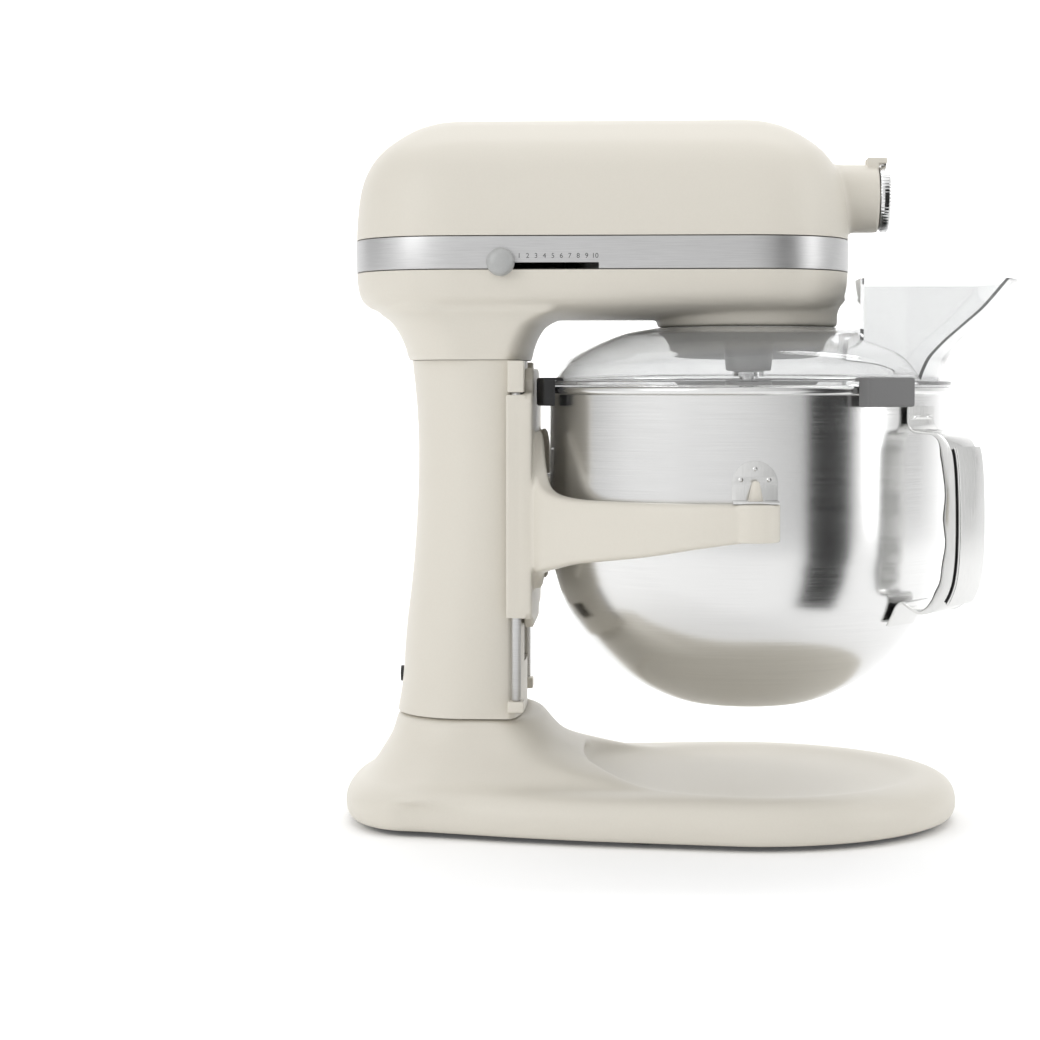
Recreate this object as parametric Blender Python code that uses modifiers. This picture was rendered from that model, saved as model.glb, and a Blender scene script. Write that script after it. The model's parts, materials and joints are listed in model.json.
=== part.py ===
"""Bowl-lift stand mixer: one solid per piece, metres, +Z up, attachment hub toward +X."""
from math import asin, atan2, cos, pi, radians, sin, sqrt, tan

import bmesh
import bpy
from mathutils import Matrix, Vector

# ---- driving dimensions -------------------------------------------------
HEAD_REAR_X = -0.1943
HEAD_FRONT_X = 0.1004
HEAD_HALF_WIDTH = 0.072
HEAD_REAR_END = 0.068
HEAD_FRONT_END = 0.066
HEAD_TOP_Z = 0.4183
HEAD_FLOOR_Z = 0.3002
HEAD_SKIN = 0.003
BAND_LOW_Z = 0.3277
BAND_TOP_Z = 0.3469
BAND_THICK = 0.0016
SEAM_GAP = 0.0003

AXIS_X = 0.0406
DRUM_RADIUS = 0.054
DRUM_LOW_Z = 0.2957
DRUM_BORE = DRUM_RADIUS - 0.003
DRUM_ROOF_Z = 0.3085
DRUM_ROOF_TOP_Z = 0.3115
DISH_LOW_Z = 0.286
BOSS_RADIUS = 0.0134
BOSS_LOW_Z = 0.2674
BEATER_OFFSET = 0.027
BEATER_SHAFT_RADIUS = 0.006
COLLAR_LOW_Z = 0.265
SHAFT_LOW_Z = 0.214

HUB_AXIS_Z = 0.3724
HUB_RADIUS = 0.0202
HUB_BORE = 0.0150
HUB_FRONT_X = 0.1185
HUB_COVER_FRONT_X = 0.1249
HUB_HINGE_X = 0.1214
HUB_HINGE_RISE = 0.0222

COLUMN_FRONT_X = -0.0923
COLUMN_LOW_Z = 0.0649
COLUMN_TOP_Z = 0.2756
COLUMN_WALL = 0.0035
NECK_LOW_Z = 0.2759

BASE_REAR_X = -0.2013
BASE_PAD_RADIUS = 0.127
BASE_LOW_Z = 0.002
BASE_CREST_Z = 0.028
BASE_DISH_RADIUS = 0.088
BASE_DISH_DEPTH = 0.0045
FOOT_RADIUS = 0.010

ROD_X = -0.0953
ROD_Y = 0.0594
ROD_RADIUS = 0.0028
ROD_LOW_Z = 0.0763
ROD_TOP_Z = 0.2687

PLATE_FRONT_X = -0.0860
PLATE_REAR_X = -0.0918
PLATE_LOW_Z = 0.117
PLATE_TOP_Z = 0.271
SLEEVE_LOW_Z = 0.1244
SLEEVE_TOP_Z = 0.2561
ARM_TOP_Z = 0.1954
ARM_BOSS_RADIUS = 0.0135
ARM_PIN_Y = 0.1295
PIN_LOW_RADIUS = 0.0045
PIN_TOP_RADIUS = 0.002
PIN_TOP_Z = 0.2084

BOWL_RADIUS = 0.1184
BOWL_WALL = 0.0012
BOWL_BOTTOM_Z = 0.0685
BOWL_RIM_Z = 0.2603
BOWL_RIM_RADIUS = 0.1218
HANDLE_ANGLE = radians(-37.0)
HANDLE_WIDTH = 0.028
STRAP_HALF = 0.0008

LID_OPENING = DRUM_RADIUS + 0.006
LID_FLANGE_RADIUS = 0.1222
LID_WALL = 0.0022
CHUTE_TOP_Z = 0.3225
CHUTE_HALF_WIDTH = 0.062
CHUTE_BACK = 0.0625
CHUTE_TIP = 0.1602

LIFT_TRAVEL = 0.040
LEVER_X = -0.1170
LEVER_Z = 0.150
CRANK_PIN_RADIUS = 0.0035
CRANK_THROW = LIFT_TRAVEL / 2.0 / sin(pi / 4.0)
YOKE_SLACK = 0.0013

KNOB_X = -0.1036
KNOB_Z = 0.3317
KNOB_RADIUS = 0.0081
SLOT_Z = 0.3297
SLOT_HALF_HEIGHT = 0.0018
KNOB_TRAVEL = 0.054

GEAR_MODULE = 0.002
BEVEL_MODULE = 0.0025
RING_MODULE = 0.003
RING_TEETH = 30
BEATER_PINION_TEETH = 12
CENTRE_TEETH = 36
PINION_TEETH = 12
WHEEL_TEETH = 24
ROTOR_TEETH = 8
CENTRE_BEVEL_TEETH = 16
HUB_BEVEL_TEETH = 8
ROTOR_AXIS_Z = 0.352
WHEEL_X = AXIS_X - GEAR_MODULE * (CENTRE_TEETH + PINION_TEETH) / 2.0

MIXER = None
CUTTERS = None


# ---- scene and materials ------------------------------------------------
def clear_scene():
    for ob in list(bpy.data.objects):
        bpy.data.objects.remove(ob, do_unlink=True)


def make_collections():
    parts = bpy.data.collections.new("stand_mixer")
    tools = bpy.data.collections.new("cutters")
    bpy.context.scene.collection.children.link(parts)
    bpy.context.scene.collection.children.link(tools)
    return parts, tools


def material(name, colour, roughness, metallic=0.0):
    paint = bpy.data.materials.new(name)
    paint.use_nodes = True
    shader = paint.node_tree.nodes["Principled BSDF"]
    shader.inputs["Base Color"].default_value = (*colour, 1.0)
    shader.inputs["Roughness"].default_value = roughness
    shader.inputs["Metallic"].default_value = metallic
    return paint


def make_materials():
    return {
        "paint": material("cream_paint", (0.66, 0.62, 0.55), 0.45),
        "trim": material("brushed_trim", (0.50, 0.50, 0.50), 0.35, 1.0),
        "steel": material("brushed_steel", (0.62, 0.62, 0.61), 0.28, 1.0),
        "chrome": material("chrome", (0.78, 0.78, 0.78), 0.12, 1.0),
        "grey": material("grey_casting", (0.27, 0.28, 0.28), 0.45, 0.6),
        "gear": material("gear_steel", (0.35, 0.35, 0.36), 0.40, 1.0),
        "bronze": material("bronze", (0.45, 0.30, 0.14), 0.40, 1.0),
        "copper": material("copper", (0.55, 0.25, 0.12), 0.40, 1.0),
        "clear": material("clear_plastic", (0.92, 0.94, 0.94), 0.08),
        "rubber": material("black_rubber", (0.03, 0.03, 0.03), 0.80),
        "clip": material("grey_rubber", (0.16, 0.16, 0.16), 0.70),
        "black": material("black_plastic", (0.02, 0.02, 0.02), 0.50),
        "board": material("board", (0.04, 0.16, 0.07), 0.60),
    }


# ---- shape helpers ------------------------------------------------------
def new_object(name, mesh, paint, tool=False):
    ob = bpy.data.objects.new(name, mesh)
    if tool:
        CUTTERS.objects.link(ob)
        ob.hide_render = True
        ob.display_type = "WIRE"
    else:
        MIXER.objects.link(ob)
        mesh.materials.append(paint)
    return ob


def smooth(mesh, angle=35.0):
    for face in mesh.polygons:
        face.use_smooth = True
    mesh.set_sharp_from_angle(angle=radians(angle))


def finish(name, bm, paint, tool=False, soft=True):
    bmesh.ops.recalc_face_normals(bm, faces=bm.faces)
    mesh = bpy.data.meshes.new(name)
    bm.to_mesh(mesh)
    bm.free()
    if soft:
        smooth(mesh)
    return new_object(name, mesh, paint, tool)


def set_origin(ob, origin):
    """Move the object's origin to a point on its joint axis; the shape stays where it is."""
    shift = Vector(origin) - ob.location
    ob.data.transform(Matrix.Translation(-shift))
    ob.location = Vector(origin)
    return ob


def block(name, low, high, paint=None, tool=False, bevel=0.0):
    bm = bmesh.new()
    bmesh.ops.create_cube(bm, size=1.0)
    size = [b - a for a, b in zip(low, high)]
    middle = [(a + b) / 2.0 for a, b in zip(low, high)]
    bmesh.ops.scale(bm, vec=size, verts=bm.verts)
    bmesh.ops.translate(bm, vec=middle, verts=bm.verts)
    if bevel:
        bmesh.ops.bevel(bm, geom=bm.edges[:], offset=bevel, segments=2, profile=0.5, affect="EDGES")
    return finish(name, bm, paint, tool)


def rod(name, start, end, radius, paint=None, tool=False, end_radius=None, steps=20):
    """A cylinder or cone between two points."""
    start, end = Vector(start), Vector(end)
    bm = bmesh.new()
    bmesh.ops.create_cone(
        bm, cap_ends=True, segments=steps, radius1=radius,
        radius2=radius if end_radius is None else end_radius, depth=(end - start).length,
    )
    turn = (end - start).to_track_quat("Z", "Y").to_matrix().to_4x4()
    bmesh.ops.transform(bm, matrix=Matrix.Translation((start + end) / 2.0) @ turn, verts=bm.verts)
    return finish(name, bm, paint, tool)


def revolve(name, profile, at, paint=None, tool=False, steps=24, closed=True, turn=None):
    """A turned shape: (radius, height) pairs about the object's own Z axis."""
    mesh = bpy.data.meshes.new(name)
    edges = [(i, i + 1) for i in range(len(profile) - 1)]
    if closed:
        edges.append((len(profile) - 1, 0))
    mesh.from_pydata([(r, 0.0, z) for r, z in profile], edges, [])
    ob = new_object(name, mesh, paint, tool)
    screw = ob.modifiers.new("turned", "SCREW")
    screw.axis = "Z"
    screw.angle = 2.0 * pi
    screw.steps = steps
    screw.render_steps = steps
    screw.use_merge_vertices = True
    screw.merge_threshold = 0.00001
    screw.use_smooth_shade = True
    ob.location = at
    if turn:
        ob.rotation_euler = turn
    return ob


def rings_mesh(bm, rings, closed=False, caps=True):
    rows = [[bm.verts.new(p) for p in ring] for ring in rings]
    pairs = list(zip(rows, rows[1:]))
    if closed:
        pairs.append((rows[-1], rows[0]))
    for a, b in pairs:
        for i in range(len(a)):
            j = (i + 1) % len(a)
            bm.faces.new((a[i], a[j], b[j], b[i]))
    if caps and not closed:
        bm.faces.new(rows[0])
        bm.faces.new(rows[-1])


def loft(name, rings, paint=None, tool=False, closed=False, caps=True):
    """A skin through rings that all have the same number of points."""
    bm = bmesh.new()
    rings_mesh(bm, rings, closed, caps)
    return finish(name, bm, paint, tool)


def prism(name, outlines, low, high, paint=None, tool=False, frame=None):
    """A flat outline, with holes if more are given, thickened from low to high."""
    curve = bpy.data.curves.new(name + "_outline", "CURVE")
    curve.dimensions = "2D"
    curve.fill_mode = "BOTH"
    curve.extrude = (high - low) / 2.0
    for outline in outlines:
        spline = curve.splines.new("POLY")
        spline.points.add(len(outline) - 1)
        for point, (x, y) in zip(spline.points, outline):
            point.co = (x, y, 0.0, 1.0)
        spline.use_cyclic_u = True
    return from_curve(name, curve, paint, tool, (low + high) / 2.0, frame)


def wire(name, points, radius, paint=None, tool=False, sides=3):
    """A round wire with closed ends along straight runs between points."""
    curve = bpy.data.curves.new(name + "_path", "CURVE")
    curve.dimensions = "3D"
    curve.bevel_depth = radius
    curve.bevel_resolution = sides
    curve.use_fill_caps = True
    spline = curve.splines.new("POLY")
    spline.points.add(len(points) - 1)
    for point, co in zip(spline.points, points):
        point.co = (*co, 1.0)
    return from_curve(name, curve, paint, tool, 0.0, None)


def from_curve(name, curve, paint, tool, lift, frame):
    holder = bpy.data.objects.new(name + "_curve", curve)
    bpy.context.scene.collection.objects.link(holder)
    graph = bpy.context.evaluated_depsgraph_get()
    mesh = bpy.data.meshes.new_from_object(holder.evaluated_get(graph))
    bpy.data.objects.remove(holder, do_unlink=True)
    bm = bmesh.new()
    bm.from_mesh(mesh)
    bmesh.ops.remove_doubles(bm, verts=bm.verts, dist=0.00001)
    bmesh.ops.translate(bm, vec=(0.0, 0.0, lift), verts=bm.verts)
    if frame is not None:
        bmesh.ops.transform(bm, matrix=frame, verts=bm.verts)
    return finish(name, bm, paint, tool)


def boolean(ob, tool, kind):
    step = ob.modifiers.new(kind.lower(), "BOOLEAN")
    step.operation = kind
    step.solver = "EXACT"
    step.object = tool
    return ob


def cut(ob, *tools):
    for tool in tools:
        boolean(ob, tool, "DIFFERENCE")
    return ob


def join(ob, *tools):
    for tool in tools:
        boolean(ob, tool, "UNION")
    return ob


def plan(x_low, x_high, half_width, low_end, high_end, z, count=12, power=2.35):
    """A plan outline with rounded ends, counter-clockwise from the rear middle."""
    ring = []
    for side in (-1.0, 1.0):
        ends = ((x_low + low_end, -low_end), (x_high - high_end, high_end))
        if side > 0.0:
            ends = ends[::-1]
        for centre, reach in ends:
            for i in range(count):
                a = (i + 0.5) / count * pi / 2.0
                first = (reach < 0.0) == (side < 0.0)
                c, s = (cos(a), sin(a)) if first else (sin(a), cos(a))
                ring.append((centre + reach * c ** (2.0 / power), side * half_width * s ** (2.0 / power), z))
    return ring


def head_ring(inset, z, count=6):
    return plan(
        HEAD_REAR_X + inset, HEAD_FRONT_X - inset, HEAD_HALF_WIDTH - inset,
        HEAD_REAR_END - inset, HEAD_FRONT_END - inset, z, count,
    )


# ---- gears --------------------------------------------------------------
def tooth_marks(teeth, module, phase, inner=False):
    """(angle, height above the pitch line) round a gear, four marks to a tooth."""
    radius = module * teeth / 2.0
    pitch = pi * module
    tip, root = 0.8 * module, -1.1 * module
    half = 0.19 * pitch
    marks = []
    for n in range(teeth):
        middle = phase + 2.0 * pi * n / teeth
        for side, height in ((-1, root), (-1, tip), (1, tip), (1, root)):
            width = half - height * tan(radians(20.0))
            marks.append((middle + side * width / radius, -height if inner else height))
    return marks


def gear_outline(teeth, module, phase, inner=False):
    radius = module * teeth / 2.0
    return [
        ((radius + h) * cos(a), (radius + h) * sin(a))
        for a, h in tooth_marks(teeth, module, phase, inner)
    ]


def circle(radius, steps=24, x=0.0, y=0.0):
    return [(x + radius * cos(2 * pi * i / steps),
        y + radius * sin(2 * pi * i / steps)) for i in range(steps)]


def spur_gear(name, teeth, module, phase, bore, at, low, high, paint):
    ob = prism(name, [gear_outline(teeth, module, phase), circle(bore)], low, high, paint)
    ob.data.transform(Matrix.Translation((at[0], at[1], 0.0)))
    return set_origin(ob, (at[0], at[1], low))


def bevel_gear(name, teeth, mate, module, phase, bore, face, apex, turn, paint):
    """A straight bevel gear whose axis runs from its apex along the local -Z."""
    radius = module * teeth / 2.0
    slant = atan2(teeth, mate)
    cone = radius / sin(slant)
    big, small = [], []
    for a, h in tooth_marks(teeth, module, phase):
        for ring, share in ((big, 1.0), (small, 1.0 - face / cone)):
            r = share * (radius + h * cos(slant))
            z = -share * (cone * cos(slant) - h * sin(slant))
            ring.append((r * cos(a), r * sin(a), z))
    back_r = radius - 1.1 * module * cos(slant) - 0.0002
    back_z = -(cone * cos(slant)) - 0.0035
    front_z = small[0][2] - 0.0002 if teeth >= mate else max(p[2] for p in small)
    angles = [a for a, h in tooth_marks(teeth, module, phase)]
    rings = [
        [(bore * cos(a), bore * sin(a), back_z) for a in angles],
        [(back_r * cos(a), back_r * sin(a), back_z) for a in angles],
        big,
        small,
        [(bore * cos(a), bore * sin(a), front_z) for a in angles],
    ]
    ob = loft(name, rings, paint, closed=True)
    ob.data.transform(turn)
    ob.location = apex
    return ob


# ---- stand --------------------------------------------------------------
def base_outline(inset, z):
    """Round pad in front, narrowing waist and round rear end, pulled in by an inset."""
    waist = [(-0.025, 0.1195), (-0.053, 0.1155), (-0.090, 0.1080), (-0.125, 0.0985), (-0.155, 0.0900)]
    near = []
    for i in range(5):
        a = (i + 0.5) / 5.0 * pi / 2.0
        x = -0.155 - (-BASE_REAR_X - 0.155) * cos(a) ** 0.85
        near.append((x, 0.090 * sin(a) ** 0.85))
    near += waist[::-1]
    for i in range(10):
        a = (i + 0.5) / 10.0 * radians(95.0)
        near.append((AXIS_X - BASE_PAD_RADIUS * cos(radians(85.0) + a),
            BASE_PAD_RADIUS * sin(radians(85.0) + a)))
    middle = (BASE_REAR_X + AXIS_X + BASE_PAD_RADIUS) / 2.0
    ring = []
    for x, y in [(x, -y) for x, y in near] + near[::-1]:
        reach = sqrt((x - middle) ** 2 + y ** 2)
        share = 1.0 - inset / reach
        ring.append((middle + (x - middle) * share, y * share, z))
    return ring


def make_base(paint):
    steps = [(0.0030, BASE_LOW_Z), (0.0008, 0.0060), (0.0, 0.0110), (0.0008, 0.0170), (0.0034, 0.0220),
             (0.0080, 0.0258), (0.0140, 0.0275), (0.0210, BASE_CREST_Z)]
    base = loft("base", [base_outline(inset, z) for inset, z in steps], paint)
    flare = [
        (-0.1930, 0.0330, 0.0960, 0.0230), (-0.1880, 0.0050, 0.0880, 0.0290), (-0.1830, -0.0330, 0.0780,
            0.0360),
        (-0.1785, -0.0579, 0.0690, 0.0426), (-0.1745, -0.0695, 0.0635, 0.0488), (-0.1718, -0.0764, 0.0595,
            0.0563),
        (-0.1703, -0.0830, 0.0575, 0.0646),
    ]
    riser = loft("base_riser", [
        plan(rear, front, half, 0.048, 0.030, z, 6) for rear, front, half, z in flare
    ], tool=True)
    join(base, riser)
    hollow = loft("base_hollow", [base_outline(0.0080, BASE_LOW_Z - 0.002), base_outline(0.0130, 0.0185)],
        tool=True)
    depth = BASE_CREST_Z - BASE_DISH_DEPTH
    dish = revolve("base_dish", [
        (0.0, 0.040), (BASE_DISH_RADIUS + 0.012, 0.040), (BASE_DISH_RADIUS + 0.008, BASE_CREST_Z + 0.0004),
        (BASE_DISH_RADIUS - 0.004, BASE_CREST_Z - 0.0022), (BASE_DISH_RADIUS - 0.016, depth), (0.0, depth),
    ], (AXIS_X + 0.004, 0.0, 0.0), tool=True, steps=32, closed=False)
    cut(base, hollow, dish)
    return base


def make_base_plate(paint):
    steps = [base_outline(0.0095, 0.0026), base_outline(0.0095, 0.0046)]
    return loft("base_plate", steps, paint)


def make_feet(paint):
    spots = [(-0.165, -0.055), (-0.165, 0.055), (-0.020, -0.092), (-0.020, 0.092), (0.145, 0.0)]
    feet = []
    for number, (x, y) in enumerate(spots, 1):
        feet.append(revolve("foot_%d" % number, [
            (0.0, 0.0023), (FOOT_RADIUS - 0.0006, 0.0023), (FOOT_RADIUS, 0.0016), (FOOT_RADIUS - 0.0008, 0.0),
            (0.0, 0.0),
        ], (x, y, 0.0), paint, steps=20, closed=False))
    return feet


def column_rings(inset, low, high):
    rows = [
        (-0.1703, 0.0572, COLUMN_LOW_Z), (-0.1673, 0.0554, 0.084), (-0.1650, 0.0552, 0.115),
        (-0.1605, 0.0552, 0.155),
        (-0.1577, 0.0550, 0.203), (-0.1581, 0.0552, 0.243), (-0.1611, 0.0566, COLUMN_TOP_Z),
    ]
    rows[0] = (*rows[0][:2], rows[0][2] - low)
    rows[-1] = (*rows[-1][:2], rows[-1][2] + high)
    return [
        plan(rear + inset, COLUMN_FRONT_X - inset, half - inset, 0.046 - inset, 0.009 - inset, z, 5, 2.2)
        for rear, half, z in rows
    ]


def make_column(paint):
    column = loft("column", column_rings(0.0, 0.0, 0.0), paint)
    lugs = []
    for side in (-1, 1):
        for low, high in ((ROD_LOW_Z - 0.0068, ROD_LOW_Z - SEAM_GAP),
            (ROD_TOP_Z + SEAM_GAP, ROD_TOP_Z + 0.0065)):
            y_low, y_high = sorted((side * 0.0500, side * (ROD_Y + 0.0042)))
            lugs.append(block("rod_lug", (ROD_X - 0.005, y_low, low), (ROD_X + 0.0045, y_high, high),
                tool=True,
                              bevel=0.001))
    boss = rod("lever_boss", (LEVER_X, 0.045, LEVER_Z), (LEVER_X, 0.0585, LEVER_Z), 0.0115, tool=True)
    join(column, boss, *lugs)
    hollow = loft("column_hollow", column_rings(COLUMN_WALL, 0.002, 0.002), tool=True)
    mouth = block("column_mouth", (COLUMN_FRONT_X - 0.008, -0.018, 0.095), (COLUMN_FRONT_X + 0.004, 0.018,
        0.262),
                  tool=True)
    bore = rod("lever_bore", (LEVER_X, 0.030, LEVER_Z), (LEVER_X, 0.070, LEVER_Z), 0.0054, tool=True)
    inlet = rod("inlet_bore", (-0.180, 0.0, 0.085), (-0.155, 0.0, 0.085), 0.0052, tool=True)
    cut(column, hollow, mouth, bore, inlet)
    return column


def make_rods(paint):
    return [
        rod("guide_rod_" + name, (ROD_X, side * ROD_Y, ROD_LOW_Z), (ROD_X, side * ROD_Y, ROD_TOP_Z),
            ROD_RADIUS,
            paint, steps=16)
        for name, side in (("left", -1), ("right", 1))
    ]


def make_lower_housing(paint):
    steps = [(0.060, HEAD_FLOOR_Z), (0.040, 0.3012), (0.020, 0.3040), (0.0065, 0.3076), (0.0034, 0.3093),
             (0.0016, 0.3133), (0.0003, 0.3218), (0.0, BAND_LOW_Z - SEAM_GAP),
             (BAND_THICK + SEAM_GAP, BAND_LOW_Z - SEAM_GAP), (BAND_THICK + SEAM_GAP, BAND_TOP_Z - 0.0004)]
    housing = loft("lower_housing", [head_ring(inset, z) for inset, z in steps], paint)
    neck = loft("neck", [
        plan(rear, front, half, 0.040, 0.014, z, 7, 2.2) for rear, front, half, z in (
            (-0.1615, -0.0905, 0.0575, NECK_LOW_Z), (-0.1637, -0.0889, 0.0583, 0.2781),
            (-0.1648, -0.0880, 0.0586, 0.2829), (-0.1675, -0.0855, 0.0592, 0.2893),
            (-0.1721, -0.0800, 0.0605, 0.2963), (-0.1765, -0.0720, 0.0625, 0.3005),
            (-0.1810, -0.0650, 0.0645, 0.3055), (-0.1830, -0.0620, 0.0650, 0.3120),
        )
    ], tool=True)
    drum = revolve("drum", [
        (0.0, 0.3120), (DRUM_RADIUS + 0.004, 0.3120), (DRUM_RADIUS, 0.3060),
        (DRUM_RADIUS, DRUM_LOW_Z + 0.001),
        (DRUM_RADIUS - 0.001, DRUM_LOW_Z), (0.0, DRUM_LOW_Z),
    ], (AXIS_X, 0.0, 0.0), tool=True, steps=32, closed=False)
    join(housing, neck, drum)
    cavity = loft("housing_cavity", [head_ring(inset, z) for inset, z in (
        (0.045, 0.3034), (0.022, 0.3066), (0.0095, 0.3108), (0.0056, 0.3170), (0.0050, 0.3500),
    )], tool=True)
    throat = loft("neck_throat", [
        plan(rear, front, half, 0.037, 0.011, z, 5, 2.2) for rear, front, half, z in (
            (-0.1580, -0.0940, 0.0540, 0.2740), (-0.1610, -0.0920, 0.0550, 0.2890),
            (-0.1670, -0.0860, 0.0570, 0.3060),
        )
    ], tool=True)
    cut(housing, cavity, throat)
    roof = rod("drum_roof", (AXIS_X, 0.0, DRUM_ROOF_Z), (AXIS_X, 0.0, DRUM_ROOF_TOP_Z), DRUM_RADIUS - 0.001, tool=True,
        steps=28)
    join(housing, roof)
    bore = rod("drum_bore", (AXIS_X, 0.0, 0.280), (AXIS_X, 0.0, DRUM_ROOF_Z), DRUM_BORE, tool=True, steps=32)
    hole = rod("drum_hole", (AXIS_X, 0.0, 0.300), (AXIS_X, 0.0, 0.320), 0.0142, tool=True, steps=24)
    cut(housing, bore, hole, slot_cutter("housing_slot"))
    return housing


def slot_cutter(name):
    start = KNOB_X - 0.0024
    end = KNOB_X + KNOB_TRAVEL + 0.0024
    outside = -HEAD_HALF_WIDTH - 0.008
    inside = -HEAD_HALF_WIDTH + 0.012
    return block(name, (start, outside, SLOT_Z - SLOT_HALF_HEIGHT), (end, inside, SLOT_Z + SLOT_HALF_HEIGHT),
                 tool=True)


def make_trim_band(paint):
    band = loft("trim_band", [
        head_ring(0.0, BAND_LOW_Z), head_ring(0.0, BAND_TOP_Z), head_ring(BAND_THICK, BAND_TOP_Z),
        head_ring(BAND_THICK, BAND_LOW_Z),
    ], paint, closed=True)
    return cut(band, slot_cutter("band_slot"))


def make_upper_cover(paint):
    steps = [(0.0, BAND_TOP_Z + SEAM_GAP), (0.0022, 0.3740), (0.0053, 0.3850), (0.0107, 0.3946),
             (0.0190, 0.4032), (0.0330, 0.4122), (0.0450, 0.4166), (0.0570, HEAD_TOP_Z)]
    cover = loft("upper_cover", [head_ring(inset, z) for inset, z in steps], paint)
    boss = rod("hub_boss", (0.070, 0.0, HUB_AXIS_Z), (HUB_FRONT_X, 0.0, HUB_AXIS_Z), HUB_RADIUS, tool=True,
        steps=32)
    join(cover, boss)
    inner = [(HEAD_SKIN, 0.3450), (HEAD_SKIN + 0.0022, 0.3720), (0.0110, 0.3880), (0.0240, 0.4020),
        (0.0400, 0.4110),
             (0.0520, 0.4145)]
    hollow = loft("cover_hollow", [head_ring(inset, z) for inset, z in inner], tool=True)
    cut(cover, hollow)
    cut(cover, rod("hub_bore", (0.060, 0.0, HUB_AXIS_Z), (0.130, 0.0, HUB_AXIS_Z), HUB_BORE, tool=True,
        steps=32))
    cut(cover, rod("screw_bore", (0.1080, 0.005, HUB_AXIS_Z), (0.1080, 0.040, HUB_AXIS_Z), 0.0034, tool=True))
    for side in (-1, 1):
        y_low, y_high = side * 0.0065 - 0.0022, side * 0.0065 + 0.0022
        top = HUB_AXIS_Z + HUB_HINGE_RISE + 0.0018
        heel = block("hinge_heel", (HUB_FRONT_X - 0.0070, y_low, HUB_AXIS_Z + 0.0140),
                     (HUB_FRONT_X - 0.0001, y_high, top), tool=True)
        ear = block("hinge_ear", (HUB_FRONT_X - 0.0030, y_low + 0.0001, top - 0.0034),
                    (HUB_HINGE_X + 0.0018, y_high - 0.0001, top - 0.0001), tool=True)
        join(cover, heel, ear)
    return cover


# ---- motor and gears ----------------------------------------------------
def along_x(name, profile, x, y, z, paint, steps=24, closed=True, tool=False):
    return revolve(name, profile, (x, y, z), paint, tool, steps, closed, (0.0, pi / 2.0, 0.0))


def make_motor(paints):
    stator = along_x("motor_stator", [
        (0.0240, 0.055), (0.0360, 0.055), (0.0360, 0.0), (0.0240, 0.0),
    ], -0.1250, 0.0, ROTOR_AXIS_Z, paints["gear"], 28)
    frame = block("motor_frame", (-0.1200, -0.026, 0.3105), (-0.0750, 0.026, 0.3320), paints["grey"])
    join(frame, block("frame_bar", (-0.1590, -0.014, 0.3125), (-0.0490, 0.014, 0.3145), tool=True))
    parts = [stator, frame]
    for name, x, floor in (("rear", -0.1600, 0.3120), ("front", -0.0560, 0.3045)):
        join(frame, block("motor_bracket_" + name, (x, -0.024, floor), (x + 0.008, 0.024, 0.3680), tool=True))
        parts.append(along_x("motor_bearing_" + name, [
            (0.0044, 0.0078), (0.0110, 0.0078), (0.0110, 0.0002), (0.0044, 0.0002),
        ], x, 0.0, ROTOR_AXIS_Z, paints["chrome"], 20))
    cut(frame, rod("cradle_bore", (-0.1350, 0.0, ROTOR_AXIS_Z), (-0.0600, 0.0, ROTOR_AXIS_Z), 0.0364,
        tool=True,
                   steps=28))
    cut(frame, rod("bracket_bore", (-0.1800, 0.0, ROTOR_AXIS_Z), (-0.0300, 0.0, ROTOR_AXIS_Z), 0.0114,
        tool=True))
    return parts


def make_rotor(paints):
    centre = (-0.0374, 0.0, ROTOR_AXIS_Z)
    shaft = rod("rotor_shaft", (-0.1650, 0.0, ROTOR_AXIS_Z), (-0.0305, 0.0, ROTOR_AXIS_Z), 0.0040,
        paints["gear"],
                steps=16)
    core = along_x("rotor_core", [
        (0.0044, 0.050), (0.0225, 0.050), (0.0225, 0.0), (0.0105, 0.0), (0.0105, -0.018), (0.0044, -0.018),
    ], -0.1225, 0.0, ROTOR_AXIS_Z, paints["copper"], 24)
    fan = prism("cooling_fan", [gear_outline(9, 0.0042, 0.0), circle(0.0044, 16)], 0.0, 0.006,
        paints["black"])
    fan.data.transform(Matrix.Rotation(pi / 2.0, 4, "Y"))
    fan.location = (-0.0680, 0.0, ROTOR_AXIS_Z)
    pinion = bevel_gear("rotor_pinion", ROTOR_TEETH, WHEEL_TEETH, BEVEL_MODULE, pi / ROTOR_TEETH, 0.0044,
        0.008,
                        (WHEEL_X, 0.0, ROTOR_AXIS_Z), Matrix.Rotation(pi / 2.0, 4, "Y"), paints["gear"])
    set_origin(shaft, centre)
    return [shaft, core, fan, pinion]


def make_gear_shaft(paints):
    wheel = bevel_gear("bevel_wheel", WHEEL_TEETH, ROTOR_TEETH, BEVEL_MODULE, 0.0, 0.0054, 0.008,
                       (WHEEL_X, 0.0, ROTOR_AXIS_Z), Matrix.Identity(4), paints["bronze"])
    shaft = prism("pinion_shaft", [gear_outline(PINION_TEETH, GEAR_MODULE, 0.0)], 0.3180, 0.3300,
        paints["gear"])
    shaft.data.transform(Matrix.Translation((WHEEL_X, 0.0, 0.0)))
    join(shaft, rod("pinion_spindle", (WHEEL_X, 0.0, 0.3119), (WHEEL_X, 0.0, 0.3425), 0.0050, tool=True,
        steps=16))
    set_origin(shaft, (WHEEL_X, 0.0, 0.3119))
    return [wheel, shaft]


def make_gear_bearing(paint):
    return revolve("gear_bearing", [(0.0054, 0.3160), (0.0110, 0.3160), (0.0110, 0.3120), (0.0054, 0.3120)],
                   (WHEEL_X, 0.0, 0.0), paint, steps=20)


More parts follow.
